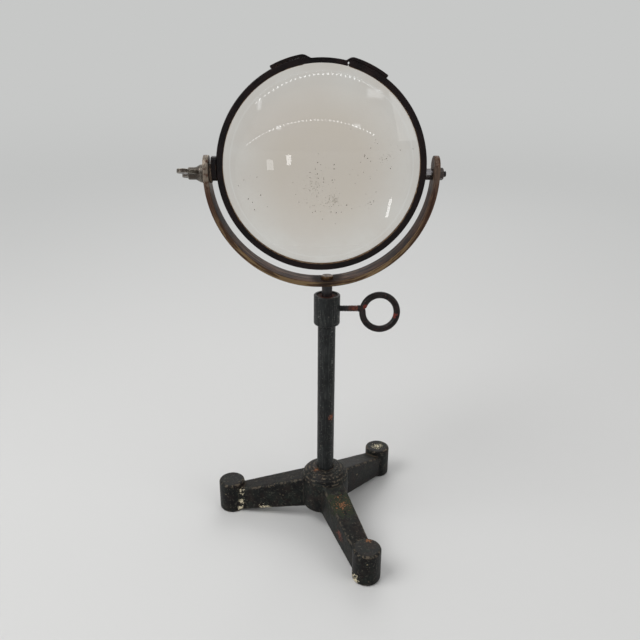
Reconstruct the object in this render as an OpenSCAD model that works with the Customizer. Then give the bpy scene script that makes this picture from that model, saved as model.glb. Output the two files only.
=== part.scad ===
// Mounted converging lens: a biconvex glass in a split ring, tilting between
// the arms of a brass yoke, on a sliding mast and a cast iron tripod.
// Origin on the floor under the column, +Z up, the glass facing along Y.

/* [Tripod casting] */
// Distance from the column to the middle of each foot
foot_reach = 65.2; // [50:0.2:90]
// Radius of a foot
foot_r = 8.7; // [6:0.1:12]
// Height of a foot
foot_h = 22; // [18:0.5:28]
// Rounding of a foot's edges
foot_edge = 1.3; // [0.5:0.1:2.5]
// Direction of the rear leg, in degrees
leg_turn = 51; // [0:0.2:120]
// Width of a leg at the hub
leg_w_hub = 15.4; // [11:0.2:20]
// Width of a leg at its foot
leg_w_foot = 12.4; // [8:0.2:16]
// Height of a leg's top where it leaves the hub
leg_top_hub = 33.2; // [26:0.2:34]
// Height of a leg's top where it meets the foot
leg_top_foot = 16.6; // [11:0.2:19]
// Height of a leg's underside at the hub
leg_under_hub = 10.4; // [8:0.2:18]
// Height of a leg's underside at its foot
leg_under_foot = 0.8; // [0.6:0.1:4]
// Rounding of a leg's edges
leg_edge = 1.6; // [0.6:0.1:3]
// Radius of the hub
hub_r = 15.5; // [12:0.5:20]
// Height of the hub's underside above the floor
hub_under = 11.2; // [9:0.2:14]
// Height where the hub's dome begins
hub_shoulder = 32; // [30:0.2:38]
// Rise of the hub's dome
dome_rise = 7.2; // [5:0.2:9]
// Number of turned grooves round the dome
dome_grooves = 4; // [1:1:5]
// Depth of those grooves
groove_depth = 0.5; // [0.2:0.1:0.8]

/* [Column] */
// Radius of the column tube
column_r = 5.5; // [5:0.1:7]
// Height of the column tube's top above the floor
column_top = 160.2; // [130:0.2:200]
// Depth of bore left free under the rod at rest
bore_room = 8.7; // [6.5:0.1:12]
// Depth of the column's seat in the hub
column_seat = 18; // [12:0.5:20]
// Radius of the threaded spigot under the column
spigot_r = 4; // [3:0.1:4.4]
// Thickness of the washer under the hub
column_washer_t = 0.8; // [0.5:0.1:1.2]
// Height of the nut under the hub
column_nut_h = 4; // [3:0.1:4.5]
// Length of spigot that shows below that nut
spigot_show = 0.6; // [0.4:0.1:1.5]
// Width of that nut across its flats
column_nut_af = 12; // [10:0.5:14]
// Radius of the clamp collar
collar_r = 8.05; // [7.5:0.05:11]
// Height of the clamp collar
collar_h = 19; // [14:0.5:26]
// Height of the collar's lip above the tube's end
collar_lip = 0.9; // [0.4:0.1:2]
// Rounding of the collar's lower edge
collar_round = 2.4; // [1:0.1:2.5]
// Rounding of the collar's upper edge
collar_top_round = 1.1; // [0.4:0.1:1.5]

/* [Eye screw] */
// Depth of the screw's axis below the collar's top
eye_drop = 9.1; // [6:0.1:12]
// Radius of the screw's threaded shank
eye_shank_r = 2; // [1.5:0.05:2.4]
// Radius of the wire that the eye is bent from
eye_wire_r = 2.05; // [1.8:0.05:2.6]
// Radius of the eye at the middle of its wire
eye_loop_r = 10.55; // [8.5:0.1:14]
// Length of thread that shows between the collar and the eye
eye_reach = 11.7; // [8:0.1:18]
// Drop of the eye's middle below the screw's axis
eye_sag = 2.3; // [0:0.1:4]
// Turn of the eye about its shank at rest, in degrees
eye_turn = -10; // [-90:5:90]
// Gap left where the bent wire's end butts on the shank
eye_butt = 0.5; // [0.3:0.1:1]

/* [Mast] */
// Radius of the mast rod
mast_r = 3.18; // [2.8:0.02:3.6]
// Length of the mast rod below the yoke
mast_length = 125; // [90:1:126]
// Length of rod that shows above the collar at rest
rest_gap = 7.4; // [7:0.2:40]
// Radius of the brass screw's head
screw_head_r = 3.7; // [3:0.1:5]
// Height of the brass screw's head
screw_head_h = 3; // [2.5:0.1:4.5]
// Radius of the brass screw's shank
screw_r = 2; // [1.6:0.1:2.2]
// Length of the brass screw's thread in the rod
screw_grip = 9; // [6:0.5:14]

/* [Yoke] */
// Width of the yoke strip
yoke_w = 14.5; // [12:0.5:20]
// Thickness of the yoke strip
yoke_t = 3; // [2.4:0.1:3.6]
// Reach of each arm above the tilt axis
arm_up = 10.2; // [8:0.2:14]
// Length of the straight piece at the middle of the bow
bow_flat = 1.8; // [0.4:0.1:4]
// Distance of the yoke's middle from its hole for the screw
yoke_shift = -3.8; // [-5:0.1:5]
// Depth of the flat seats round that hole
yoke_seat = 0.35; // [0.35:0.05:0.6]
// Depth of the recess for the brass screw's head
head_sink = 1; // [0.4:0.1:1.2]
// Clearance between the lens ring's fittings and each arm
side_play = 0.15; // [0.1:0.05:0.3]

/* [Lens ring] */
// Outer radius of the ring band
band_r = 59; // [45:0.5:75]
// Width of the ring band
band_w = 7; // [6:0.5:10]
// Thickness of the ring band
band_t = 1.5; // [1.2:0.1:2.5]
// Height of the band's lips over the glass
lip_h = 2; // [1.8:0.1:4]
// Thickness of the band's lips
lip_t = 1; // [0.8:0.1:1.4]
// Bevel of the band's and the bridge's outer edges
ring_bevel = 0.6; // [0.3:0.1:0.8]
// Direction of the band's right end, in degrees
gap_from = 75.6; // [70:0.2:80]
// Direction of the band's left end, in degrees
gap_to = 99.6; // [92:0.2:104]
// Rise of the ring's centre above the tilt axis
ring_rise = 3.1; // [0:0.1:3.8]
// Tilt of the ring at rest, top towards the front, in degrees
rest_tilt = 0; // [-10:0.2:10]
// Depth of the closing bridge's bar below the band's surface
bar_drop = 0.8; // [0.4:0.1:1.2]
// Height of the closing bridge's pads above the band
pad_step = 1.7; // [1.5:0.1:3]
// Slit between the bridge's bar and the band's right end
slit_w = 0.5; // [0.3:0.1:1]
// Radius of the hole drilled where that slit ends
slit_hole_r = 0.65; // [0.4:0.05:0.8]
// End of the right pad, in degrees
right_pad_end = 54.4; // [45:0.2:60]
// End of the left pad, in degrees
left_pad_end = 117.6; // [112:0.2:126]
// Length of each pad's sloping nose, in degrees
nose_span = 2.4; // [1:0.2:4]
// Number of screws in each pad
pad_screws = 2; // [1:1:2]
// Radius of a bridge screw's shank
pad_screw_r = 1; // [0.8:0.05:1.2]
// Radius of a bridge screw's countersunk head
pad_screw_head_r = 1.8; // [1.5:0.1:2.2]
// Depth of the screws' heads below the pads' surface
pad_screw_sink = 0.3; // [0.2:0.1:0.6]

/* [Glass] */
// Radius of curvature of both faces
glass_face_r = 200; // [120:5:400]
// Thickness of the glass at its rim
glass_edge = 3; // [2:0.1:3.4]
// Clearance between the glass rim and the band
glass_play = 1.2; // [0.4:0.1:1.4]
// Set-back of the packing behind the lips' edges
packing_back = 0.4; // [0:0.1:0.8]

/* [Pivots] */
// Radius of the wing nut's stud
wing_stud_r = 2.35; // [1.8:0.05:3]
// Radius of the nut's stud
nut_stud_r = 1.8; // [1.4:0.05:2.2]
// Thickness of the pivot pad
pivot_pad_t = 2.7; // [2:0.05:3.4]
// Width of the pivot pad
pivot_pad_w = 8; // [7:0.5:12]
// Reach of the pivot pad above the tilt axis
pivot_pad_up = 9.4; // [8:0.2:14]
// Reach of the pivot pad below the tilt axis
pivot_pad_down = 3.8; // [3.4:0.2:8]
// Radius of the pad rivet's head
rivet_r = 1.3; // [1:0.1:1.6]
// Thickness of the spacer disc
spacer_t = 1.25; // [0.8:0.05:2]
// Radius of the spacer disc
spacer_r = 5.2; // [4:0.1:7]
// Thickness of the washer under the wing nut
wing_washer_t = 0.8; // [0.5:0.1:1.2]
// Radius of the wing nut's foot
wing_foot_r = 5; // [4:0.1:6.5]
// Radius of the wing nut's barrel
wing_barrel_r = 3.5; // [3:0.1:4.5]
// Length of the wing nut's barrel
wing_barrel_l = 8; // [6:0.5:11]
// Radius of the circle through the wings' tips
wing_span_r = 12; // [9:0.5:15]
// Length of the wing nut to its wings' tips
wing_length = 12.9; // [11.6:0.1:16]
// Thickness of a wing
wing_t = 2.2; // [1.6:0.1:3]
// Turn of the wings from level, front wing up, in degrees
wing_turn = 17; // [-90:1:90]
// Width of the right stud's hexagon body and nut, across flats
hex_af = 6.1; // [5:0.1:8]
// Height of the small nut
pivot_nut_h = 2.7; // [2:0.1:4]
// Length of the right stud that shows beyond that nut
stud_show = 1.6; // [0.5:0.1:2.5]
// Length of the left stud that shows beyond the wing nut's barrel
wing_stud_show = 0.4; // [0.2:0.1:1]

/* [Hidden] */
$fn = 96;

// Radial clearance of a thread or a turning pin
slip = 0.05;
// Radial clearance of the rod in the column
slide = 0.06;
// Clearance of pieces fixed to each other
snug = 0.03;
// Gap between the eye screw's tip and the rod, and under the bridge's screws
eye_gap = 0.3;
// Gap between glass and packing, and between glass and the bridge's bar
glass_gap = 0.1;
// Room round a screw's or fitting's seat
head_room = 0.6;
// Overshoot of a cutting tool
over = 1;
// Thickness of a slab that a hull starts or ends on
slab = 0.1;

legs = 3;
leg_step = 360 / legs;
foot_inset = foot_r / 2;
leg_root = hub_r - 5;
hub_top = hub_shoulder + dome_rise;
dome_foot_r = column_r + 1;
spigot_end = hub_under - column_washer_t - column_nut_h - spigot_show;
seat_z = hub_top - column_seat;

collar_top = column_top + collar_lip;
collar_bottom = collar_top - collar_h;
eye_z = collar_top - eye_drop;
eye_tip = mast_r + eye_gap;
eye_centre_x = collar_r + eye_reach + eye_loop_r + eye_wire_r;
// Angle that the wire's butt end keeps clear of, measured at the loop
eye_butt_angle = (eye_shank_r + eye_butt) / eye_loop_r * 180 / PI;

mast_top = collar_top + rest_gap;
mast_bottom = mast_top - mast_length;
bore_floor = mast_bottom - bore_room;

lip_r = band_r - band_t - lip_h;
floor_r = band_r - band_t;
glass_r = floor_r - glass_play;
glass_sag = glass_face_r - sqrt(pow(glass_face_r, 2) - pow(glass_r, 2));
glass_half = glass_edge / 2 + glass_sag;
bar_inner_r = glass_r + 2 * glass_gap;
bar_outer_r = band_r - bar_drop;
slit_top_r = bar_outer_r - bar_drop / 2;
pad_outer_r = band_r + pad_step;
slit_angle = slit_w / band_r * 180 / PI;
bar_from = gap_from + slit_angle;
// Angle between the band's ends and the bridge's own faces beside them
end_gap = 0.1;
packing_outer_r = floor_r - snug;
packing_inner_r = lip_r + packing_back;
packing_from = glass_edge / 2 + glass_gap + glass_sag
    - (glass_face_r - sqrt(pow(glass_face_r, 2) - pow(packing_inner_r, 2)));
packing_to = band_w / 2 - lip_t - snug;

arm_face = band_r + pivot_pad_t + spacer_t + side_play;
yoke_inner_r = arm_face - bow_flat / 2;
yoke_outer_r = yoke_inner_r + yoke_t;
// The underside's flat seat meets the mast's top
pivot_z = mast_top - yoke_seat + yoke_outer_r;
screw_seat_z = pivot_z - yoke_inner_r - head_sink;

// Distances along the tilt axis from the ring's centre
pad_face = band_r + pivot_pad_t;
spacer_face = pad_face + spacer_t;
ear_face = arm_face + yoke_t;
washer_face = ear_face + side_play + wing_washer_t;
wing_face = washer_face + slip;
nut_face = ear_face + side_play;
stud_root = sqrt(pow(floor_r, 2) - pow(ring_rise, 2)) + snug;
rivet_up = pivot_pad_up - 1.9;

// Points of an arc round a centre, from one angle to another
function arc(centre, r, from, to, steps) =
    [for (i = [0:steps]) centre + r * [cos(from + (to - from) * i / steps),
                                       sin(from + (to - from) * i / steps)]];

// Point on the hub's dome, pushed in by a depth
function dome_point(t, depth) =
    [dome_foot_r + (hub_r - depth - dome_foot_r) * cos(t),
     hub_shoulder + (dome_rise - depth) * sin(t)];

// Carries children from the tilt axis's own frame to the yoke
module at_pivot() {
    translate([yoke_shift, 0, pivot_z]) children();
}

// Carries children to the tilted ring, on the tilt axis
module on_tilt() {
    at_pivot() rotate([rest_tilt, 0, 0]) children();
}

// Carries flat ring outlines, drawn in X and Y, to the upright ring
module on_ring() {
    on_tilt() translate([0, 0, ring_rise]) rotate([90, 0, 0]) children();
}

// Turns a form drawn along Z so that it points to the left
module to_left() {
    rotate([0, -90, 0]) children();
}

// Turns a form drawn along Z so that it points to the right
module to_right() {
    rotate([0, 90, 0]) children();
}

// Revolved section swept between two directions
module swept(from, to) {
    rotate([0, 0, from]) rotate_extrude(angle = to - from) children();
}

// Flat rounded slab across a leg: width, lowest and highest points
module leg_slab(w, low, high) {
    x = w / 2 - leg_edge;
    top = high - leg_edge;
    bottom = low + leg_edge;
    rotate([90, 0, 90]) linear_extrude(slab)
        polygon(concat(arc([x, top], leg_edge, 0, 90, 6),
                       arc([-x, top], leg_edge, 90, 180, 6),
                       arc([-x, bottom], leg_edge, 180, 270, 6),
                       arc([x, bottom], leg_edge, 270, 360, 6)));
}

module leg() {
    hull() {
        translate([leg_root, 0, 0]) leg_slab(leg_w_hub, leg_under_hub, leg_top_hub);
        translate([foot_reach - foot_inset, 0, 0])
            leg_slab(leg_w_foot, leg_under_foot, leg_top_foot);
    }
}

module foot() {
    rotate_extrude()
        polygon(concat([[0, 0]],
                       arc([foot_r - foot_edge, foot_edge], foot_edge, -90, 0, 6),
                       arc([foot_r - foot_edge, foot_h - foot_edge], foot_edge, 0, 90, 6),
                       [[0, foot_h]]));
}

module hub() {
    groove_at = [for (i = [1:dome_grooves]) 90 * i / (dome_grooves + 1)];
    dome = [for (t = groove_at, k = [-1, 0, 1])
                dome_point(t + k * 5, k == 0 ? groove_depth : 0)];
    rotate_extrude()
        polygon(concat([[0, hub_under]],
                       arc([hub_r - leg_edge, hub_under + leg_edge], leg_edge, -90, 0, 6),
                       [[hub_r, hub_shoulder]],
                       dome,
                       [[dome_foot_r, hub_top], [0, hub_top]]));
}

module tripod_base() {
    color([0.13, 0.15, 0.14]) difference() {
        union() {
            hub();
            for (i = [0:legs - 1])
                rotate([0, 0, leg_turn + i * leg_step]) {
                    leg();
                    translate([foot_reach, 0, 0]) foot();
                }
        }
        translate([0, 0, seat_z]) cylinder(r = column_r + snug, h = column_seat + over);
        translate([0, 0, hub_under - over])
            cylinder(r = spigot_r + snug, h = seat_z - hub_under + 2 * over);
    }
}

module column_tube() {
    color([0.14, 0.17, 0.16]) difference() {
        union() {
            translate([0, 0, seat_z]) cylinder(r = column_r, h = column_top - seat_z);
            translate([0, 0, spigot_end]) cylinder(r = spigot_r, h = seat_z - spigot_end);
        }
        translate([0, 0, bore_floor])
            cylinder(r = mast_r + slide, h = column_top - bore_floor + over);
        eye_hole();
    }
}

// Threaded hole that the eye screw runs in, through collar and tube
module eye_hole() {
    translate([0, 0, eye_z]) to_right() cylinder(r = eye_shank_r + slip, h = collar_r + over);
}

module column_washer() {
    color([0.35, 0.33, 0.3]) translate([0, 0, hub_under - column_washer_t]) difference() {
        cylinder(r = column_nut_af / 2 + 1, h = column_washer_t);
        translate([0, 0, -over]) cylinder(r = spigot_r + snug, h = column_washer_t + 2 * over);
    }
}

// Hexagon nut standing on z = 0, its corners chamfered on both faces
module hex_nut(af, h, hole_r) {
    corner_r = af / 2 / cos(30);
    chamfer = (corner_r - af / 2) * 0.9;
    difference() {
        intersection() {
            cylinder(r = corner_r, h = h, $fn = 6);
            rotate_extrude()
                polygon([[0, 0], [corner_r - chamfer, 0], [corner_r, chamfer * 0.6],
                         [corner_r, h - chamfer * 0.6], [corner_r - chamfer, h], [0, h]]);
        }
        translate([0, 0, -over]) cylinder(r = hole_r, h = h + 2 * over);
    }
}

module column_nut() {
    color([0.35, 0.33, 0.3])
        translate([0, 0, hub_under - column_washer_t - column_nut_h])
            hex_nut(column_nut_af, column_nut_h, spigot_r + snug);
}

module clamp_collar() {
    top_r = collar_r - collar_top_round;
    rim_r = (column_r + top_r) / 2;
    color([0.13, 0.16, 0.15]) difference() {
        translate([0, 0, collar_bottom]) rotate_extrude()
            polygon(concat([[column_r + snug, 0]],
                           arc([collar_r - collar_round, collar_round], collar_round, -90, 0, 6),
                           arc([top_r, collar_h - collar_top_round], collar_top_round, 0, 90, 5),
                           [[rim_r, collar_h], [column_r + snug, collar_h - collar_lip]]));
        eye_hole();
    }
}

module eye_screw() {
    // Angle at which the bent wire's end butts on the shank
    butt = asin(eye_sag / eye_loop_r);
    end_angle = 180 - butt - eye_butt_angle;
    color([0.16, 0.13, 0.13]) translate([0, 0, eye_z]) rotate([eye_turn, 0, 0]) {
        translate([eye_tip, 0, 0]) to_right()
            cylinder(r = eye_shank_r, h = eye_centre_x - eye_loop_r - eye_tip);
        translate([eye_centre_x, 0, -eye_sag]) rotate([90, 0, 0])
            swept(-180 - butt, end_angle)
                translate([eye_loop_r, 0]) circle(eye_wire_r, $fn = 32);
    }
}

module mast_rod() {
    tip = 1;
    color([0.12, 0.12, 0.12]) translate([0, 0, mast_bottom]) difference() {
        rotate_extrude()
            polygon([[0, 0], [mast_r - tip, 0], [mast_r, tip],
                     [mast_r, mast_length], [0, mast_length]]);
        translate([0, 0, mast_length - screw_grip - snug])
            cylinder(r = screw_r + snug, h = screw_grip + over);
    }
}

module yoke_screw() {
    round = 1;
    color([0.48, 0.38, 0.22]) {
        translate([0, 0, screw_seat_z + snug]) rotate_extrude()
            polygon(concat([[0, 0], [screw_head_r, 0]],
                           arc([screw_head_r - round, screw_head_h - round], round, 0, 90, 5),
                           [[0, screw_head_h]]));
        translate([0, 0, mast_top - screw_grip])
            cylinder(r = screw_r, h = screw_seat_z + over - mast_top + screw_grip);
    }
}

// Two arcs, one for each side, joined by the bow's straight piece
module bow_outline(r) {
    for (side = [-1, 1])
        translate([side * bow_flat / 2, 0]) circle(r, $fn = 180);
    translate([-bow_flat / 2, -r]) square([bow_flat, r]);
}

// Arc of strip below the tilt axis
module yoke_bow() {
    reach = ear_face + over;
    rotate([90, 0, 0]) linear_extrude(yoke_w, center = true) difference() {
        bow_outline(yoke_outer_r);
        bow_outline(yoke_inner_r);
        translate([-reach, 0]) square([2 * reach, reach]);
    }
}

// Upper end of one arm, straight from the tilt axis up to its round top
module yoke_ear() {
    top = arm_up - yoke_w / 2;
    translate([0, 0, arm_face]) linear_extrude(yoke_t) {
        intersection() {
            translate([top, 0]) circle(yoke_w / 2);
            translate([top, -yoke_w]) square([yoke_w, 2 * yoke_w]);
        }
        translate([0, -yoke_w / 2]) square([top, yoke_w]);
    }
}

module yoke() {
    color([0.42, 0.35, 0.25]) difference() {
        at_pivot() difference() {
            union() {
                yoke_bow();
                to_left() yoke_ear();
                mirror([1, 0, 0]) to_left() yoke_ear();
            }
            to_left() cylinder(r = wing_stud_r + slip, h = ear_face + over);
            to_right() cylinder(r = nut_stud_r + slip, h = ear_face + over);
        }
        translate([0, 0, mast_top - over])
            cylinder(r = screw_r + slip, h = yoke_t + 3 * over);
        translate([0, 0, mast_top - yoke_t])
            cylinder(r = mast_r + head_room, h = yoke_t);
        translate([0, 0, screw_seat_z])
            cylinder(r = screw_head_r + head_room, h = yoke_t + over);
        // Flat faces round the pivot holes, inside the arms
        at_pivot() for (arm = [-1, 1])
            translate([arm * arm_face, 0, 0]) rotate([0, -arm * 90, 0])
                cylinder(r = spacer_r + head_room, h = yoke_t);
    }
}

// Cutter for the screws that hold the bridge's pads, one way in at each place
module pad_screw_places() {
    for (span = [[gap_to, left_pad_end], [right_pad_end, gap_from]])
        for (i = [1:pad_screws])
            rotate([0, 0, span[0] + (span[1] - span[0]) * (i + 0.25) / (pad_screws + 1.5)])
                to_right() children();
}

module pad_screw(extra) {
    head_h = pad_screw_head_r - pad_screw_r;
    from = floor_r + eye_gap - extra;
    translate([0, 0, from])
        cylinder(r = pad_screw_r + extra, h = pad_outer_r - pad_screw_sink - from);
    translate([0, 0, pad_outer_r - pad_screw_sink - head_h])
        cylinder(r1 = pad_screw_r + extra, r2 = pad_screw_head_r + extra, h = head_h);
}

// Channel section of the band, its lips towards the centre
module band_section() {
    w = band_w / 2;
    b = ring_bevel;
    lip = w - lip_t;
    polygon([[band_r - b, w], [lip_r + b, w], [lip_r, w - b / 2], [lip_r, lip],
             [floor_r, lip], [floor_r, -lip], [lip_r, -lip], [lip_r, b / 2 - w],
             [lip_r + b, -w], [band_r - b, -w], [band_r, b - w], [band_r, w - b]]);
}

module ring_band() {
    color([0.1, 0.09, 0.1]) difference() {
        on_ring() difference() {
            swept(gap_to - 360, gap_from) band_section();
            pad_screw_places() translate([0, 0, floor_r - over])
                cylinder(r = pad_screw_r + snug, h = band_t + 2 * over);
            slit_hole();
        }
        on_tilt() {
            to_left() translate([0, 0, lip_r])
                cylinder(r = wing_stud_r + snug, h = band_r - lip_r + over);
            to_right() translate([0, 0, lip_r])
                cylinder(r = nut_stud_r + snug, h = band_r - lip_r + over);
            rivet_place() translate([0, 0, lip_r])
                cylinder(r = rivet_r / 2 + snug, h = band_r - lip_r + over);
        }
    }
}

// Outline of the bridge seen along the lens axis, drawn in by a bevel
function bridge_outline(b) =
    concat(arc([0, 0], pad_outer_r - b, right_pad_end, bar_from - nose_span / 2, 12),
           arc([0, 0], bar_outer_r - b, bar_from + nose_span / 2, gap_to - 1.5 * nose_span, 10),
           arc([0, 0], pad_outer_r - b, gap_to, left_pad_end, 12),
           arc([0, 0], band_r + snug, left_pad_end, gap_to - end_gap, 12),
           arc([0, 0], lip_r, gap_to - end_gap, bar_from, 10),
           arc([0, 0], slit_top_r, bar_from, gap_from + end_gap, 1),
           arc([0, 0], band_r + snug, gap_from + end_gap, right_pad_end, 12));

// Hole that ends the slit, half in the bridge and half in the band
module slit_hole() {
    rotate([0, 0, (gap_from + bar_from) / 2]) translate([slit_top_r - slit_hole_r, 0, 0])
        cylinder(r = slit_hole_r, h = band_w + over, center = true, $fn = 32);
}

module closing_bridge() {
    color([0.1, 0.09, 0.1]) on_ring() difference() {
        union() {
            linear_extrude(band_w - 2 * ring_bevel, center = true) polygon(bridge_outline(0));
            linear_extrude(band_w, center = true) polygon(bridge_outline(ring_bevel));
        }
        // Channel for the glass's rim, as in the band
        cylinder(r = bar_inner_r, h = band_w - 2 * lip_t, center = true);
        slit_hole();
        pad_screw_places() {
            pad_screw(snug);
            translate([0, 0, pad_outer_r - pad_screw_sink])
                cylinder(r = pad_screw_head_r + snug, h = over);
        }
    }
}

module bridge_screws() {
    color([0.14, 0.13, 0.13]) on_ring() pad_screw_places() pad_screw(0);
}

module lens() {
    color([0.8, 0.84, 0.84, 0.35]) on_ring() intersection() {
        cylinder(r = glass_r, h = 2 * glass_half + over, center = true);
        glass_face(1);
        glass_face(-1);
    }
}

// Ball whose surface is one face of the glass
module glass_face(side) {
    translate([0, 0, side * (glass_half - glass_face_r)]) sphere(glass_face_r, $fn = 180);
}

// Packing strip on the front (+1) or rear (-1) side of the glass
module packing(side) {
    color([0.4, 0.27, 0.15]) on_ring() scale([1, 1, side])
        swept(gap_to - 359, gap_from - 1)
            translate([packing_inner_r, packing_from])
                square([packing_outer_r - packing_inner_r, packing_to - packing_from]);
}

module front_packing() {
    packing(1);
}

module rear_packing() {
    packing(-1);
}

// The band's outer surface, for fittings that are filed to its curve
module band_curve() {
    translate([0, 0, ring_rise]) rotate([90, 0, 0])
        cylinder(r = band_r + snug, h = 2 * band_w, center = true, $fn = 180);
}

module rivet_place() {
    translate([0, 0, rivet_up]) to_left() children();
}

module pivot_pad() {
    color([0.11, 0.11, 0.12]) on_tilt() difference() {
        translate([-pad_face, 0, 0]) rotate([90, 0, 90]) linear_extrude(2 * pivot_pad_t)
            polygon(pad_outline());
        band_curve();
        to_left() cylinder(r = wing_stud_r + snug, h = pad_face + over);
        rivet_place() cylinder(r = rivet_r / 2 + snug, h = pad_face + over);
    }
}

// Outline of the pivot pad, with rounded corners
function pad_outline() =
    let (w = pivot_pad_w / 2, r = 2)
    concat(arc([w - r, pivot_pad_up - r], r, 0, 90, 5),
           arc([r - w, pivot_pad_up - r], r, 90, 180, 5),
           arc([r - w, r - pivot_pad_down], r, 180, 270, 5),
           arc([w - r, r - pivot_pad_down], r, 270, 360, 5));

module pad_rivet() {
    rise = 0.45;
    color([0.12, 0.11, 0.11]) on_tilt() rivet_place() {
        translate([0, 0, floor_r + 0.2])
            cylinder(r = rivet_r / 2, h = pad_face - floor_r);
        translate([0, 0, pad_face]) rotate_extrude()
            polygon(concat([[0, 0]],
                           [for (t = [0:15:90]) [rivet_r * cos(t), rise * sin(t)]]));
    }
}

module wing_stud() {
    color([0.36, 0.33, 0.29]) on_tilt() to_left() translate([0, 0, stud_root])
        threaded_bar(wing_stud_r, wing_face + wing_barrel_l + wing_stud_show - stud_root);
}

// Plain bar for a thread, its free end chamfered
module threaded_bar(r, length) {
    tip = 0.5;
    rotate_extrude()
        polygon([[0, 0], [r, 0], [r, length - tip], [r - tip, length], [0, length]]);
}

// Flat ring standing on z = 0
module washer(outer_r, inner_r, t) {
    difference() {
        cylinder(r = outer_r, h = t);
        translate([0, 0, -over]) cylinder(r = inner_r, h = t + 2 * over);
    }
}

module spacer_disc() {
    color([0.33, 0.25, 0.18]) on_tilt() to_left() translate([0, 0, pad_face])
        washer(spacer_r, wing_stud_r + snug, spacer_t);
}

module wing_washer() {
    color([0.4, 0.37, 0.33]) on_tilt() to_left() translate([0, 0, ear_face + side_play])
        washer(wing_foot_r + 0.4, wing_stud_r + slip, wing_washer_t);
}

module wing_nut() {
    cone_h = 3.6;
    color([0.45, 0.42, 0.38]) at_pivot() to_left() translate([0, 0, wing_face]) difference() {
        union() {
            rotate_extrude()
                polygon([[0, 0], [wing_foot_r, 0], [wing_foot_r, 0.9],
                         [wing_barrel_r, cone_h], [wing_barrel_r, wing_barrel_l - 0.5],
                         [wing_barrel_r - 0.5, wing_barrel_l], [0, wing_barrel_l]]);
            rotate([0, 0, wing_turn - 90]) {
                wing();
                mirror([1, 0, 0]) wing();
            }
        }
        translate([0, 0, -over])
            cylinder(r = wing_stud_r + slip, h = wing_length + 2 * over);
    }
}

// One wing: its outline from barrel to round tip, across its thickness
module wing() {
    tip_r = 3.4;
    tip = [wing_span_r - tip_r, wing_length - tip_r];
    root_x = wing_barrel_r - 0.7;
    rotate([90, 0, 0]) linear_extrude(wing_t, center = true)
        polygon(concat([[root_x, 1.4], [wing_foot_r - 0.6, 1.4]],
                       arc(tip, tip_r, -38, 140, 14),
                       [[root_x, wing_barrel_l - 1.2]]));
}

module nut_stud() {
    color([0.13, 0.12, 0.12]) on_tilt() difference() {
        to_right() {
            translate([0, 0, stud_root])
                threaded_bar(nut_stud_r, nut_face + pivot_nut_h + stud_show - stud_root);
            translate([0, 0, floor_r]) hex_nut(hex_af, spacer_face - floor_r, nut_stud_r / 2);
        }
        difference() {
            band_curve();
            to_right() cylinder(r = nut_stud_r, h = band_r + over);
        }
    }
}

module pivot_nut() {
    color([0.3, 0.27, 0.25]) on_tilt() to_right() translate([0, 0, nut_face])
        hex_nut(hex_af, pivot_nut_h, nut_stud_r + snug);
}

tripod_base();
column_tube();
column_washer();
column_nut();
clamp_collar();
eye_screw();
mast_rod();
yoke_screw();
yoke();
ring_band();
closing_bridge();
bridge_screws();
lens();
front_packing();
rear_packing();
pivot_pad();
pad_rivet();
wing_stud();
spacer_disc();
wing_washer();
wing_nut();
nut_stud();
pivot_nut();
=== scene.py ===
"""Mounted converging lens: its looks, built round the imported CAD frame.

Everything is in metres, in the frame of the CAD: +Z up, the glass facing
along Y. Sizes are read from the nodes' boxes where a box gives them, and
written out below where none does.
"""
from functools import partial
from math import asin, atan2, cos, pi, radians, sin, sqrt, tan, tau

import bmesh
import bpy
from mathutils import Matrix, Vector


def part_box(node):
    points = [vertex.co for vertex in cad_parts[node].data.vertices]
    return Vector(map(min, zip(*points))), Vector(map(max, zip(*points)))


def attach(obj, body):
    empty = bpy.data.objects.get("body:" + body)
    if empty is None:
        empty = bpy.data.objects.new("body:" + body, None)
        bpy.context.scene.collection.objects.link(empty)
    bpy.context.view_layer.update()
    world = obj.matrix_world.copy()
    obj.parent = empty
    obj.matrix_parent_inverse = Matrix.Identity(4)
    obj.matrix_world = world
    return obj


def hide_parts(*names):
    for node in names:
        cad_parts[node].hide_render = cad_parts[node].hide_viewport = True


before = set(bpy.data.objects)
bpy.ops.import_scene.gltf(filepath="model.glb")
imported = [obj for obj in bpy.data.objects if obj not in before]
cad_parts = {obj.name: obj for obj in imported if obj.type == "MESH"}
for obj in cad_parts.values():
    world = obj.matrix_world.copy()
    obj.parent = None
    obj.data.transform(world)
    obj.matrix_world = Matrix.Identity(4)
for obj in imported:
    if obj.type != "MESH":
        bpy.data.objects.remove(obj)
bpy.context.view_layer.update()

MM = 0.001
PLAY = 0.03 * MM
LEFT, RIGHT = -1, 1


def mm(x, y, z):
    """A place or a shift, written in millimetres."""
    return Vector((x, y, z)) * MM


# ---------------------------------------------------------------- sizes
COLUMN_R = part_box("column_tube")[1].x
COLUMN_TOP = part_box("column_tube")[1].z
COLLAR_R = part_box("clamp_collar")[1].x
COLLAR_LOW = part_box("clamp_collar")[0].z
COLLAR_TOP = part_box("clamp_collar")[1].z
ROD_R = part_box("mast_rod")[1].x
ROD_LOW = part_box("mast_rod")[0].z
ROD_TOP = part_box("mast_rod")[1].z
HUB_R = 15.5 * MM
HUB_SHOULDER = 32 * MM
HUB_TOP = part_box("tripod_base")[1].z
DOME_BEADS = 5
BEAD_DEPTH = 0.8 * MM
SPIGOT_R = 4 * MM
SPIGOT_LOW = 5.8 * MM
SPIGOT_TOP = HUB_SHOULDER - 11 * MM
BORE_FLOOR = 36 * MM
FOOT_REACH = 65.2 * MM
FOOT_H = 22 * MM
LEG_TURN = radians(51)

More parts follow.
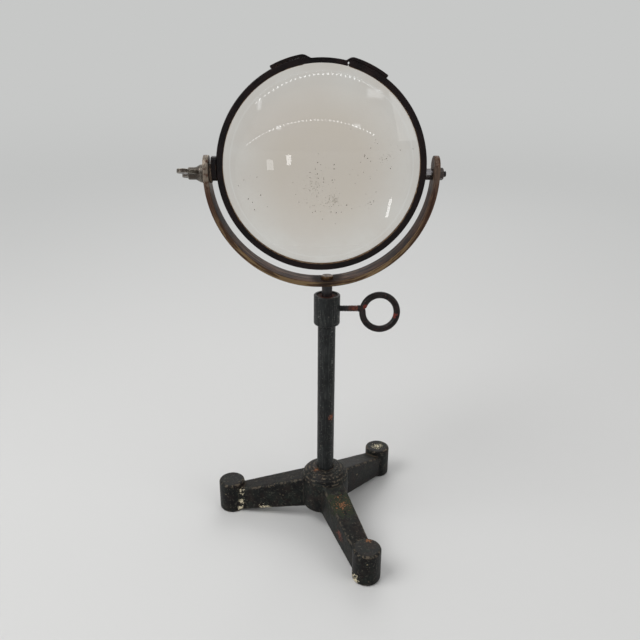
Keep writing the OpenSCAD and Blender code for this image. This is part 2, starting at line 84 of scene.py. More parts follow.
EYE_Z = 152 * MM
EYE_TURN = radians(-10)
EYE_SHANK_R = 2 * MM
EYE_WIRE_R = 2.05 * MM
EYE_LOOP_R = 10.55 * MM
EYE_SAG = 2.3 * MM
EYE_CENTRE_X = 32.35 * MM

STRIP_W = 14.5 * MM
STRIP_T = 3 * MM
STRIP_EDGE = 0.45 * MM
BOW_R = 62.2 * MM
BOW_FLAT = 1.8 * MM
ARM_UP = 10.2 * MM
PIVOT = mm(-3.8, 0, 233.35)

STUD_BODY_TO = 62.95 * MM
RIVET_OUT = 7.5 * MM

BAND_R = 59 * MM
BAND_W = 7 * MM
BAND_T = 1.5 * MM
LIP_R = 55.5 * MM
LIP_T = 1 * MM
RING_RISE = 3.1 * MM
RING = PIVOT + Vector((0, 0, RING_RISE))
# Directions round the ring, in degrees
GAP_FROM = 75.6
GAP_TO = 99.6
SLIT = 0.49
END_GAP = 0.02
PAD_RIGHT = 54.4
PAD_LEFT = 117.6
PAD_NOSE = 2.4
# The closing bridge and its slit, measured from the ring's middle
BAR_R = 58.2 * MM
SLIT_TOP_R = 57.8 * MM
SLIT_HOLE_R = 0.65 * MM
PAD_R = 60.7 * MM

GLASS_R = 56.3 * MM
GLASS_EDGE = 3 * MM
GLASS_FACE_R = 200 * MM


# ------------------------------------------------------ working with nodes
def put(tree, kind, sockets=None, **options):
    """Adds a node; sockets gives its inputs a value or another node's output."""
    made = tree.nodes.new(kind)
    for option, value in options.items():
        setattr(made, option, value)
    for name, value in (sockets or {}).items():
        if isinstance(value, bpy.types.NodeSocket):
            tree.links.new(value, made.inputs[name])
        else:
            made.inputs[name].default_value = value
    return made


def got(tree, kind, sockets=None, **options):
    """Adds a node and gives back its first output."""
    made = put(tree, kind, sockets, **options)
    return made.outputs[0]


def reckon(operation, *values, clamp=False):
    """One sum on numbers: a Math node in the tree that they come from."""
    tree = next(value.id_data for value in values if isinstance(value, bpy.types.NodeSocket))
    return got(tree, "ShaderNodeMath", dict(enumerate(values)), operation=operation, use_clamp=clamp)


times = partial(reckon, "MULTIPLY")
plus = partial(reckon, "ADD")
minus = partial(reckon, "SUBTRACT")
over = partial(reckon, "DIVIDE")
times_plus = partial(reckon, "MULTIPLY_ADD")


def vector(operation, first, second=None):
    """One sum on vectors: another vector, or a number where the sum gives one."""
    sockets = {0: first}
    if second is not None:
        sockets["Scale" if operation == "SCALE" else 1] = second
    made = put(first.id_data, "ShaderNodeVectorMath", sockets, operation=operation).outputs
    return made["Value" if operation in ("DISTANCE", "LENGTH", "DOT_PRODUCT") else 0]


def open_group(name, kind, inputs, outputs):
    """A new node group with named sockets, its inside input and its output node."""
    tree = bpy.data.node_groups.new(name, kind)
    for side, rows in (("INPUT", inputs), ("OUTPUT", outputs)):
        for label, socket, value in rows:
            made = tree.interface.new_socket(label, in_out=side, socket_type="NodeSocket" + socket)
            if value is not None:
                made.default_value = value
    return tree, tree.nodes.new("NodeGroupInput").outputs, tree.nodes.new("NodeGroupOutput")


def tone(red, green, blue):
    """A colour written as it looks on a screen, 0 to 255, turned to light values."""
    parts = (part / 255 for part in (red, green, blue))
    return (*(p / 12.92 if p <= 0.04045 else ((p + 0.055) / 1.055) ** 2.4 for p in parts), 1.0)


# ------------------------------------------------- effects on the surfaces
def noise_of(where, size, detail=4.0, rough=0.6):
    """Noise whose waves are about one size across."""
    return got(where.id_data, "ShaderNodeTexNoise",
               {"Vector": where, "Scale": over(1.0, size), "Detail": detail, "Roughness": rough})


def step_up(value, start, end):
    """Rises smoothly from 0 to 1 between start and end."""
    return got(value.id_data, "ShaderNodeMapRange",
               {"Value": value, "From Min": start, "From Max": end}, interpolation_type="SMOOTHSTEP")


def share_of(noise, share, level=0.75, soft=0.08):
    """1 on about a share of the noise, from its highest places down."""
    limit = times_plus(share, -0.5, level)
    return step_up(noise, limit, plus(limit, soft))


def nearness(given):
    """1 at the Centre, falling to 0 at Reach from it."""
    away = vector("DISTANCE", given["Coordinate"], given["Centre"])
    return reckon("SUBTRACT", 1.0, over(away, given["Reach"]), clamp=True)


def from_axis(where, centre):
    """The arm from a centre, and how far it reaches from the axis along Y."""
    arm = vector("SUBTRACT", where, centre)
    return arm, vector("LENGTH", vector("MULTIPLY", arm, (1, 0, 1)))


def normal_part(tree, axis):
    """How far the surface faces along an axis, from -1 to 1."""
    normal = put(tree, "ShaderNodeTexCoord").outputs["Normal"]
    return put(tree, "ShaderNodeSeparateXYZ", {0: normal}).outputs[axis]


def blotches(tree, given):
    """Soft patches, about one Size across, that cover a Share of what is near the Centre."""
    noise = noise_of(given["Coordinate"], given["Size"])
    # Noise gathers round 0.5, so the share is drawn in towards it
    edge = times_plus(given["Share"], -0.5, 0.75)
    patch = step_up(noise, minus(edge, given["Softness"]), plus(edge, given["Softness"]))
    return times(step_up(nearness(given), 0.0, 0.5), patch)


def flakes(tree, given):
    """Crisp chips of paint, one Size across, gathered within Reach of a Centre."""
    noise = noise_of(given["Coordinate"], given["Size"], 6.0, 0.65)
    near = nearness(given)
    chip = share_of(noise, times(near, given["Share"]), 0.8, 0.015)
    return times(chip, step_up(near, 0.0, 0.1))


def specks(tree, given):
    """Separate small dots, such as grit, chips or pits: cells one Size wide, a Share with a Dot."""
    scale = over(1.0, given["Size"])
    wobble = put(tree, "ShaderNodeTexNoise",
                 {"Vector": given["Coordinate"], "Scale": times(scale, 2.5),
                  "Detail": 3.0}).outputs["Color"]
    shift = vector("SCALE", wobble, times(given["Size"], 0.6))
    moved = vector("ADD", given["Coordinate"], shift)
    cells = put(tree, "ShaderNodeTexVoronoi", {"Vector": moved, "Scale": scale}).outputs
    chance = put(tree, "ShaderNodeSeparateColor", {0: cells["Color"]}).outputs
    kept = reckon("LESS_THAN", chance["Red"], times(nearness(given), given["Share"]))
    radius = times(times_plus(chance["Green"], 0.8, 0.2), given["Dot"])
    dot = step_up(minus(radius, cells["Distance"]), 0.0, 0.05)
    return times(kept, dot)


def cast_wear(tree, given):
    """Wear of a cast piece, read from the bulge its mesh carries: rubbed edges, filled hollows."""
    bulge = put(tree, "ShaderNodeAttribute", attribute_name="bulge").outputs["Fac"]
    broken = share_of(noise_of(given["Coordinate"], given["Size"]), given["Share"])
    return tuple(times(step_up(measure, 0.3, 0.8), broken) for measure in (bulge, times(bulge, -1.0)))


def worn_edges(tree, given):
    """Rubbed edges: where the surface turns within Width, broken up by noise."""
    soft = got(tree, "ShaderNodeBevel", {"Radius": given["Width"]}, samples=4)
    true = put(tree, "ShaderNodeNewGeometry").outputs["Normal"]
    turn = minus(1.0, vector("DOT_PRODUCT", soft, true))
    broken = share_of(noise_of(given["Coordinate"], given["Size"]), given["Share"])
    return times(step_up(turn, 0.01, 0.12), broken)


def streaks(tree, given):
    """Long thin marks that run along the direction where Stretch is small."""
    drawn = vector("MULTIPLY", given["Coordinate"], given["Stretch"])
    return share_of(noise_of(drawn, given["Size"], 5.0), given["Share"], 0.8, 0.05)


def hoop_marks(tree, given):
    """Marks that run round a hoop about the Centre, in the plane that faces along Y."""
    arm, out = from_axis(given["Coordinate"], given["Centre"])
    parts = put(tree, "ShaderNodeSeparateXYZ", {0: arm}).outputs
    turn = reckon("ARCTAN2", parts["X"], times(parts["Z"], -1.0))
    stretch = over(given["Size"], given["Length"])
    along = times(times(turn, out), stretch)
    laid = got(tree, "ShaderNodeCombineXYZ", {"X": along, "Y": parts["Y"], "Z": out})
    return share_of(noise_of(laid, given["Size"], 5.0), given["Share"], 0.78)


def dust(tree, given):
    """Dust that has settled on what faces up."""
    facing_up = step_up(normal_part(tree, "Z"), 0.35, 0.95)
    noise = noise_of(given["Coordinate"], given["Size"], 6.0, 0.7)
    spread = times(step_up(noise, 0.3, 0.75), given["Share"])
    return times(facing_up, spread)


def relief(tree, given):
    """Height of a worn or cast skin: slow waves under a fine grain."""
    waves = noise_of(given["Coordinate"], given["Wave"], 2.0)
    grain = noise_of(given["Coordinate"], given["Grain"])
    return times_plus(grain, given["Grain Share"], waves)


def socket_name(label):
    """The socket that a keyword such as grain_share means: Grain Share."""
    return label.replace("_", " ").title()


def effect(name, draw, puts_out=("Mask",), **sizes):
    """The node group of one effect, its sizes as sockets with their usual values."""
    rows = [("Coordinate", "Vector", None)]
    for label, value in sizes.items():
        rows.append((socket_name(label), "Vector" if isinstance(value, tuple) else "Float", value))
    masks = [(label, "Float", None) for label in puts_out]
    tree, given, result = open_group(name, "ShaderNodeTree", rows, masks)
    drawn = draw(tree, given)
    for label, socket in zip(puts_out, drawn if isinstance(drawn, tuple) else (drawn,)):
        tree.links.new(socket, result.inputs[label])
    return tree


BLOTCHES = effect("Blotches", blotches, size=0.01, share=0.5, softness=0.12, centre=(0, 0, 0),
                  reach=10.0)
FLAKES = effect("Flakes", flakes, size=0.002, share=0.3, centre=(0, 0, 0), reach=1.0)
SPECKS = effect("Specks", specks, size=0.002, share=0.4, dot=0.25, centre=(0, 0, 0), reach=10.0)
CAST_WEAR = effect("Cast wear", cast_wear, ("Edges", "Hollows"), size=0.003, share=0.6)
WORN_EDGES = effect("Worn edges", worn_edges, width=0.0006, size=0.004, share=0.5)
STREAKS = effect("Streaks", streaks, stretch=(1, 1, 0.05), size=0.001, share=0.2)
HOOP_MARKS = effect("Hoop marks", hoop_marks, centre=(0, 0, 0), length=0.02, size=0.001, share=0.3)
DUST = effect("Settled dust", dust, size=0.006, share=0.5)
RELIEF = effect("Skin relief", relief, ("Height",), wave=0.006, grain=0.0008, grain_share=0.5)


class Finish:
    """One material, its colour, roughness and metal laid on in coats by masks."""

    def __init__(self, name, colour, rough, metal=0.0, specular=0.5):
        self.material = bpy.data.materials.new(name)
        self.material.use_nodes = True
        self.tree = self.material.node_tree
        self.shader = self.tree.nodes["Principled BSDF"]
        self.shader.inputs["Specular IOR Level"].default_value = specular
        self.where = self.tree.nodes.new("ShaderNodeTexCoord").outputs["Object"]
        self.levels = {"Base Color": colour, "Roughness": rough, "Metallic": metal}
        self.sunk = []

    def mask(self, group, out=0, **values):
        """Places an effect in this material and gives back what it puts out."""
        made = put(self.tree, "ShaderNodeGroup", node_tree=group)
        self.tree.links.new(self.where, made.inputs["Coordinate"])
        for label, value in values.items():
            made.inputs[socket_name(label)].default_value = value
        return made.outputs[out]

    def faces(self, axis, start=0.55, end=0.85):
        """1 where the surface faces along an axis, either way."""
        return step_up(reckon("ABSOLUTE", normal_part(self.tree, axis)), start, end)

    def lay(self, group, size, share, colour, rough, metal=None, cover=1.0, sunk=0.0, only=None,
            out=0, **more):
        """Lays a coat where an effect's mask is 1, and only on another mask if one is given."""
        mask = self.mask(group, out, size=size, share=share, **more)
        if only is not None:
            mask = times(only, mask)
        self.coat(mask, colour, rough, metal, cover, sunk)

    def coat(self, mask, colour, rough=None, metal=None, cover=1.0, sunk=0.0):
        """Lays a coat over what is there, where the mask is 1; sunk lets it lie lower."""
        if sunk:
            self.sunk.append((mask, sunk))
        if cover < 1:
            mask = times(mask, cover)
        # For each kind, where a Mix node has its two inputs and its output
        for label, value, kind, first, second, out in (("Base Color", colour, "RGBA", 6, 7, 2),
                                                       ("Roughness", rough, "FLOAT", 2, 3, 0),
                                                       ("Metallic", metal, "FLOAT", 2, 3, 0)):
            if value is not None:
                made = put(self.tree, "ShaderNodeMix",
                           {0: mask, first: self.levels[label], second: value}, data_type=kind)
                self.levels[label] = made.outputs[out]

    def skin(self, depth, wave, grain, grain_share):
        """Gives the surface its relief, depth metres deep, and hands over the material."""
        height = self.mask(RELIEF, wave=wave, grain=grain, grain_share=grain_share)
        for mask, sunk in self.sunk:
            height = times_plus(mask, -sunk, height)
        self.levels["Normal"] = got(self.tree, "ShaderNodeBump",
                                    {"Strength": 1.0, "Distance": depth, "Height": height})
        return self.done()

    def done(self):
        """Sets what the coats came to on the shader, and hands over the material."""
        for label, value in self.levels.items():
            if isinstance(value, bpy.types.NodeSocket):
                self.tree.links.new(value, self.shader.inputs[label])
            else:
                self.shader.inputs[label].default_value = value
        return self.material


# --------------------------------------------------------------- finishes
RUST = tone(96, 46, 32)
CREAM = tone(206, 196, 168)


def iron_paint():
    """Black stove paint on the tripod: chipped, gritty, rubbed along its edges."""
    made = Finish("Chipped iron paint", tone(15, 15, 16), 0.42, specular=0.13)
    made.lay(BLOTCHES, 0.014, 0.5, tone(30, 34, 31), 0.55)
    made.lay(BLOTCHES, 0.006, 0.35, tone(46, 36, 32), 0.62, cover=0.8)
    made.lay(BLOTCHES, 0.003, 0.45, tone(8, 8, 9), 0.36, cover=0.85)
    made.lay(BLOTCHES, 0.0016, 0.27, tone(72, 70, 63), 0.7, cover=0.8, softness=0.06)
    made.lay(DUST, 0.0025, 0.25, tone(62, 58, 53), 0.75)
    made.lay(CAST_WEAR, 0.004, 0.9, tone(66, 58, 48), 0.8, cover=0.7, out=1)
    made.lay(CAST_WEAR, 0.0022, 0.52, tone(84, 76, 65), 0.55, sunk=0.4)
    made.lay(FLAKES, 0.0022, 0.24, tone(66, 50, 40), 0.7, sunk=0.6)
    for size, share, dot, colour in ((0.0011, 0.36, 0.34, tone(62, 57, 50)),
                                     (0.0019, 0.26, 0.26, tone(86, 77, 64)),
                                     (0.0048, 0.2, 0.16, tone(132, 121, 99))):
        made.lay(SPECKS, size, share, colour, 0.7, sunk=0.5, dot=dot)
    front = foot_place(2)
    left = foot_place(1)
    orange = tone(134, 90, 62)
    for centre, reach, size, share, colour in (
            (Vector((front.x * 0.44, front.y * 0.44, 27 * MM)), 0.021, 0.0028, 1.0, tone(44, 48, 36)),
            (Vector((front.x * 0.44, front.y * 0.44, 27 * MM)), 0.015, 0.001, 0.62, orange),
            (Vector((front.x * 0.35, front.y * 0.35, 27 * MM)), 0.006, 0.0009, 0.75, orange),
            (mm(8.7, -39.5, 14), 0.009, 0.0015, 0.85, tone(110, 70, 62)),
            (front + mm(-3, 9, 20), 0.0045, 0.0011, 0.85, orange),
            (front + Vector((1.5 * MM, 6 * MM, FOOT_H)), 0.0045, 0.0011, 0.85, orange),
            (foot_place(0) + Vector((0, 0, FOOT_H)), 0.009, 0.0009, 0.78, CREAM),
            (left + mm(7.5, -6, 16), 0.0048, 0.0011, 0.95, CREAM),
            (left + mm(7.5, -6, 9), 0.0058, 0.0011, 0.95, CREAM),
            (left + mm(6, -7, 3), 0.0048, 0.0011, 0.95, CREAM),
            (left * 0.62 + mm(0, -6, 3), 0.012, 0.0018, 0.9, CREAM),
            (front + mm(-7, -4, 3), 0.008, 0.0018, 0.9, CREAM),
            (mm(-6, -4, 38), 0.005, 0.0012, 0.85, tone(120, 76, 50)),
            (mm(0, 0, 39), 0.0105, 0.0016, 1.1, tone(72, 44, 37))):
        made.lay(FLAKES, size, share, colour, 0.7, sunk=0.5, centre=centre, reach=reach)
    return made.skin(0.00022, 0.007, 0.0009, 0.45)


def column_paint():
    """Black-green paint on the column and collar, scratched along them and rusty on top."""
    made = Finish("Streaked column paint", tone(16, 17, 18), 0.32, specular=0.22)
    made.lay(BLOTCHES, 0.008, 0.5, tone(28, 31, 31), 0.42)
    made.lay(BLOTCHES, 0.0025, 0.35, tone(12, 12, 13), 0.4, cover=0.7)
    made.lay(STREAKS, 0.0009, 0.52, tone(58, 60, 58), 0.55, cover=0.45, sunk=0.3, stretch=(1, 1, 0.09))
    made.lay(WORN_EDGES, 0.002, 0.7, tone(84, 78, 70), 0.6, width=0.0006)
    made.lay(FLAKES, 0.0016, 0.26, tone(70, 56, 48), 0.7, cover=0.8, sunk=0.5)
    for size, share, dot, colour in ((0.0011, 0.3, 0.34, tone(80, 78, 72)),
                                     (0.0026, 0.25, 0.2, tone(122, 115, 100))):
        made.lay(SPECKS, size, share, colour, 0.7, sunk=0.5, dot=dot)
    # Painted glints: light specks on the sides of the column and collar, where highlights catch the
    # paint
    beside = made.faces("X", 0.25, 0.6)
    for size, share, dot, cover in ((0.0009, 0.6, 0.4, 0.5), (0.0018, 0.4, 0.26, 0.8)):
        made.lay(SPECKS, size, share, tone(104, 104, 101), 0.4, cover=cover, only=beside, dot=dot)
    made.lay(FLAKES, 0.0011, 0.85, tone(116, 70, 54), 0.8, centre=(0.0035, -0.0045, 0.079), reach=0.0055)
    top = Vector((0, 0, COLLAR_TOP - 1.2 * MM))
    made.lay(BLOTCHES, 0.003, 1.0, tone(44, 26, 24), 0.8, centre=top, reach=0.0079)
    made.lay(FLAKES, 0.0016, 1.25, RUST, 0.85, sunk=-0.5, centre=top, reach=0.0092)
    made.lay(DUST, 0.002, 0.35, tone(80, 66, 56), 0.8)
    return made.skin(0.00014, 0.004, 0.0007, 0.5)


def ring_lacquer():
    """Worn black lacquer on the lens ring, brown where it is thin."""
    made = Finish("Worn black lacquer", tone(11, 7, 8), 0.4, specular=0.15)
    made.lay(BLOTCHES, 0.012, 0.5, tone(24, 14, 14), 0.5)
    made.lay(HOOP_MARKS, 0.0012, 0.3, tone(44, 31, 27), 0.55, cover=0.7, sunk=0.3, centre=RING,
             length=0.02)
    made.lay(WORN_EDGES, 0.004, 0.5, tone(88, 64, 44), 0.5, width=0.0004)
    made.lay(SPECKS, 0.0017, 0.2, tone(66, 54, 46), 0.6, sunk=0.5, dot=0.2)
    return made.skin(0.0001, 0.006, 0.0008, 0.4)


def yoke_brass():
    """The bowed strip: mauve-brown faces with marks along them, its rubbed edges golden."""
    made = Finish("Brown yoke brass", tone(72, 46, 31), 0.52, metal=0.25, specular=0.08)
    made.lay(BLOTCHES, 0.012, 0.5, tone(40, 29, 26), 0.54, 0.25)
    made.lay(HOOP_MARKS, 0.002, 0.55, tone(98, 71, 52), 0.48, 0.3, cover=0.7, centre=PIVOT, length=0.04)
    made.lay(HOOP_MARKS, 0.001, 0.5, tone(24, 16, 15), 0.62, 0.1, cover=0.85, sunk=0.4, centre=PIVOT,
             length=0.02)
    # The two narrow faces: copper-brown on the arms, golden under the bow
    edge = made.faces("Y")
    made.coat(edge, tone(84, 63, 52), 0.38, 0.65)
    low = Vector((0, 0, PIVOT.z - BOW_R))
    for centre, reach, share in ((low, 0.075, 1.1), (low + mm(-45, 0, 14), 0.04, 0.7)):
        made.lay(BLOTCHES, 0.008, share, tone(124, 103, 76), 0.38, 0.75, only=edge, softness=0.2,
                 centre=centre, reach=reach)
    made.lay(HOOP_MARKS, 0.0017, 0.6, tone(58, 40, 33), 0.5, 0.4, cover=0.85, only=edge, centre=PIVOT,
             length=0.022)
    made.lay(HOOP_MARKS, 0.0008, 0.45, tone(42, 31, 26), 0.6, 0.3, cover=0.75, only=edge, centre=PIVOT,
             length=0.03)
    # Painted reflection: light grey patches on the arms round the two ears, strong on the left and faint
    # on the right
    for side, cover in ((-1, 0.7), (1, 0.2)):
        ear = PIVOT + mm(side * 63, 0, 4)
        made.lay(BLOTCHES, 0.0035, 0.62, tone(136, 127, 115), 0.34, 0.6, cover=cover, softness=0.06,
                 centre=ear, reach=0.017)
    made.lay(WORN_EDGES, 0.005, 0.6, tone(150, 128, 98), 0.32, 0.9, cover=0.7, width=0.0006)
    made.lay(SPECKS, 0.0024, 0.4, tone(34, 25, 22), 0.7, 0.2, sunk=0.8, dot=0.2)
    # Grime and painted shade on the strip round the foot of the brass screw head
    made.lay(BLOTCHES, 0.003, 0.85, tone(30, 22, 19), 0.75, 0.1, cover=0.9, centre=low, reach=0.012)
    return made.skin(0.00009, 0.004, 0.0006, 0.4)


def head_brass():
    """The screw's head: olive brass, golden where it is handled."""
    made = Finish("Olive screw brass", tone(82, 59, 36), 0.36, metal=0.6, specular=0.15)
    made.lay(BLOTCHES, 0.0022, 0.5, tone(58, 42, 28), 0.5, 0.4)
    made.lay(STREAKS, 0.0007, 0.35, tone(52, 40, 28), 0.6, 0.4, cover=0.7, stretch=(1, 1, 0.15))
    made.lay(WORN_EDGES, 0.003, 0.8, tone(176, 150, 98), 0.3, 0.9, cover=0.8, width=0.0006)
    return made.skin(0.00006, 0.003, 0.0005, 0.4)


def rusty_thread():
    """Rust on the eye screw's thread, darker next to the collar."""
    made = Finish("Rusty thread", tone(42, 26, 24), 0.75)
    made.lay(BLOTCHES, 0.003, 0.6, tone(84, 42, 32), 0.85)
    made.lay(BLOTCHES, 0.001, 0.35, tone(128, 66, 42), 0.9)
    # Darker next to the collar
    made.lay(BLOTCHES, 0.002, 0.9, tone(24, 20, 20), 0.5, centre=(0.0095, 0, EYE_Z), reach=0.006)
    return made.skin(0.0002, 0.001, 0.0003, 0.6)


def eye_paint():
    """Dark on the bent eye, rubbed thin by fingers, a few spots down to the rust."""
    made = Finish("Rubbed eye paint", tone(13, 9, 10), 0.3, specular=0.2)
    made.lay(BLOTCHES, 0.005, 0.5, tone(34, 28, 28), 0.42)
    made.lay(BLOTCHES, 0.0018, 0.3, tone(56, 34, 32), 0.55, cover=0.6)
    turn = Matrix.Rotation(EYE_TURN, 3, "X")
    for right, up, reach, share in ((0.0415, -0.0042, 0.0034, 1.1), (0.0235, 0.001, 0.0034, 1.2)):
        centre = turn @ Vector((right, -0.001, up)) + Vector((0, 0, EYE_Z))
        made.lay(FLAKES, 0.0014, share, tone(104, 40, 32), 0.65, centre=centre, reach=reach)
    made.lay(WORN_EDGES, 0.003, 0.5, tone(90, 66, 56), 0.5, width=0.0004)
    made.lay(SPECKS, 0.0018, 0.35, tone(96, 62, 54), 0.6, dot=0.22)
    return made.skin(0.00014, 0.003, 0.0006, 0.5)


def dark_steel(name, colour, rough, metal):
    """Blackened steel with a little brown bloom and marks along it."""
    made = Finish(name, colour, rough, metal)
    made.lay(BLOTCHES, 0.004, 0.4, tone(46, 32, 32), rough + 0.2, metal * 0.5)
    made.lay(STREAKS, 0.001, 0.3, tone(84, 78, 74), rough, 0.6, cover=0.4, stretch=(1, 1, 0.1))
    made.lay(WORN_EDGES, 0.002, 0.6, tone(120, 112, 102), rough - 0.05, 0.8, cover=0.7, width=0.0004)
    return made.skin(0.00006, 0.003, 0.0005, 0.4)


def wing_metal():
    """Tarnished nickel-brass of the wing nut: grime and painted shade in its hollows, painted highlights
    on its rubbed edges.
    """
    made = Finish("Tarnished wing metal", tone(104, 98, 90), 0.26, metal=0.85)
    made.lay(BLOTCHES, 0.005, 0.5, tone(70, 61, 53), 0.4, 0.6)
    made.lay(BLOTCHES, 0.0016, 0.35, tone(46, 38, 33), 0.6, 0.3, cover=0.8)
    # Grime and painted shade in the hollows
    made.lay(CAST_WEAR, 0.003, 1.2, tone(34, 28, 24), 0.75, 0.1, cover=0.9, out=1)
    # Rubbed edges, lightened further as painted highlights
    made.lay(CAST_WEAR, 0.003, 0.9, tone(172, 166, 154), 0.28, 0.9, cover=0.6)
    made.lay(WORN_EDGES, 0.003, 0.6, tone(170, 162, 148), 0.3, 0.9, cover=0.6, width=0.0003)
    made.lay(SPECKS, 0.0016, 0.35, tone(44, 36, 31), 0.7, 0.2, sunk=0.6, dot=0.25)
    return made.skin(0.0001, 0.003, 0.0006, 0.4)


def brown_fibre(name, dark, middle, bright):
    """Hard fibre or leather, its grain drawn out round the ring and its edge rubbed."""
    made = Finish(name, middle, 0.7)
    made.lay(BLOTCHES, 0.003, 0.5, dark, 0.8)
    made.lay(HOOP_MARKS, 0.0006, 0.5, bright, 0.6, cover=0.7, centre=RING, length=0.006)
    made.lay(SPECKS, 0.0014, 0.4, dark, 0.85, sunk=0.5, dot=0.25)
    return made.skin(0.00015, 0.002, 0.0004, 0.7)


def clear_glass():
    """Old clear glass: warm where it is thick, pale at the rim, with pits and fine scratches."""
    made = Finish("Old clear glass", (0.875, 0.8, 0.71, 1.0), 0.0)
    made.shader.inputs["Transmission Weight"].default_value = 1.0
    made.shader.inputs["IOR"].default_value = 1.5
    tree = made.tree
    out = from_axis(made.where, RING)[1]
    made.coat(step_up(out, 0.02, 0.054), (0.965, 0.945, 0.905, 1.0))
    made.lay(BLOTCHES, 0.035, 0.4, (0.88, 0.81, 0.74, 1.0), rough=0.03, cover=0.7, softness=0.2)
    line = times(step_up(out, 0.0508, 0.0512), step_up(out, 0.0520, 0.0515))
    made.coat(line, (1.0, 0.99, 0.96, 1.0), 0.25, cover=0.45)
    grit = tone(92, 84, 70)
    front = -GLASS_EDGE / 2 - 8 * MM
    for size, share, dot, right, up, reach in ((0.0015, 0.9, 0.31, 1, -11, 0.022),
                                               (0.0018, 0.9, 0.28, 36, 8, 0.017),
                                               (0.0015, 1.1, 0.31, 27, -17, 0.008),
                                               (0.0018, 0.9, 0.28, -39, -14, 0.014),
                                               (0.006, 0.6, 0.08, 0, 0, 0.09)):
        centre = RING + Vector((right * MM, front, up * MM))
        made.lay(SPECKS, size, share, grit, 0.6, cover=0.85, dot=dot, centre=centre, reach=reach)
    for right, up, reach, share in ((-4, -8, 0.017, 0.56), (6, -16, 0.012, 0.62), (36, 7, 0.013, 0.58)):
        made.lay(FLAKES, 0.0009, share, tone(126, 116, 98), 0.5, cover=0.7, reach=reach,
                 centre=RING + Vector((right * MM, front, up * MM)))
    made.lay(STREAKS, 0.001, 0.13, tone(206, 200, 190), 0.35, cover=0.4, stretch=(1, 1, 0.05))
    return made.skin(0.000003, 0.02, 0.0012, 0.2)


def foot_place(number):
    """Middle of a foot on the floor: 0 is the rear one, 1 the left, 2 the front."""
    turn = LEG_TURN + number * tau / 3
    return Vector((cos(turn), sin(turn), 0)) * FOOT_REACH


IRON_PAINT = iron_paint()
COLUMN_PAINT = column_paint()
LACQUER = ring_lacquer()
YOKE_BRASS = yoke_brass()
HEAD_BRASS = head_brass()
THREAD_RUST = rusty_thread()
EYE_PAINT = eye_paint()
ROD_STEEL = dark_steel("Black rod steel", tone(17, 13, 17), 0.32, 0.15)
STUD_STEEL = dark_steel("Polished stud steel", tone(92, 90, 90), 0.16, 0.9)
PLAIN_STEEL = dark_steel("Oiled plain steel", tone(76, 70, 67), 0.36, 0.75)
WING_METAL = wing_metal()
DISC_FIBRE = brown_fibre("Brown disc fibre", tone(44, 33, 26), tone(78, 60, 44), tone(112, 92, 72))
PACKING = brown_fibre("Amber packing", tone(78, 54, 34), tone(122, 90, 58), tone(172, 142, 102))
GLASS = clear_glass()


# ------------------------------------------------------------ making shapes
def facing(direction):
    """Turns a form drawn along +Z to point left or right."""
    return Matrix.Rotation(direction * pi / 2, 4, "Y")


def placed(name, data):
    """Puts an object in the scene."""
    made = bpy.data.objects.new(name, data)
    bpy.context.scene.collection.objects.link(made)
    return made


def shade(bm, degrees):
    """Shades a form smooth but for the edges that turn by more than some degrees."""
    for face in bm.faces:
        face.smooth = True
    for edge in bm.edges:
        edge.smooth = len(edge.link_faces) == 2 and edge.calc_face_angle(0) < radians(degrees)


def joined(bm, rings, capped=False):
    """Makes the faces between each ring of points and the next; one point alone is a tip."""
    for a, b in zip(rings, rings[1:]):
        steps = max(len(a), len(b))
        for k in range(steps):
            n = (k + 1) % steps
            corners = [a[k % len(a)], a[n % len(a)], b[n % len(b)], b[k % len(b)]]
            bm.faces.new(list(dict.fromkeys(corners)))
    if capped:
        bm.faces.new(rings[0][::-1])
        bm.faces.new(rings[-1])


def keep(bm, name, material, place=None, sharp=35):
    """Puts a finished bmesh in the scene, smooth but for its sharp edges."""
    if place is not None:
        bmesh.ops.transform(bm, matrix=place, verts=bm.verts)
    bmesh.ops.remove_doubles(bm, verts=bm.verts, dist=0.002 * MM)
    bmesh.ops.recalc_face_normals(bm, faces=bm.faces)
    shade(bm, sharp)
    mesh = bpy.data.meshes.new(name)
    bm.to_mesh(mesh)
    bm.free()
    mesh.materials.append(material)
    return placed(name, mesh)


def settle(piece, body, slot, *nodes):
    """Hangs the piece on the body it rides on and hides the CAD nodes it stands in for; the slot is not
    used.
    """
    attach(piece, body)
    if nodes:
        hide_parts(*nodes)
    return piece


def rounded(points, closed=False, steps=5):
    """An outline with its corners rounded: points are (x, y) or (x, y, radius)."""
    outline = []
    last = len(points) - 1
    for i, point in enumerate(points):
        here = Vector(point[:2])
        if len(point) < 3 or (not closed and i in (0, last)):
            outline.append(here)
            continue
        before = Vector(points[i - 1][:2]) - here
        after = Vector(points[(i + 1) % len(points)][:2]) - here
        cut = point[2] / tan(before.angle(after) / 2)
        cut = min(cut, before.length * 0.49, after.length * 0.49)
        start = here + before.normalized() * cut
        end = here + after.normalized() * cut
        for k in range(steps + 1):
            t = k / steps
            outline.append(start.lerp(here, t).lerp(here.lerp(end, t), t))
    return outline


def turned(name, outline, material, place=None, closed=False, steps=96, sharp=35):
    """A lathe-turned piece from its half outline of (radius, height) points."""
    bm = bmesh.new()
    rings = []
    for radius, height in outline:
        count = steps if radius > 0.001 * MM else 1
        rings.append([bm.verts.new((radius * cos(tau * k / steps),
                                    radius * sin(tau * k / steps), height))
                      for k in range(count)])
    joined(bm, rings + rings[:1] if closed else rings)
    return keep(bm, name, material, place, sharp)


def merged_copy(node):
    """A CAD node's mesh with its loose triangles joined, ready to be dressed."""
    bm = bmesh.new()
    bm.from_mesh(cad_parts[node].data)
    bmesh.ops.remove_doubles(bm, verts=bm.verts, dist=0.001 * MM)
    bmesh.ops.dissolve_limit(bm, angle_limit=radians(0.5), verts=bm.verts, edges=bm.edges)
    return bm


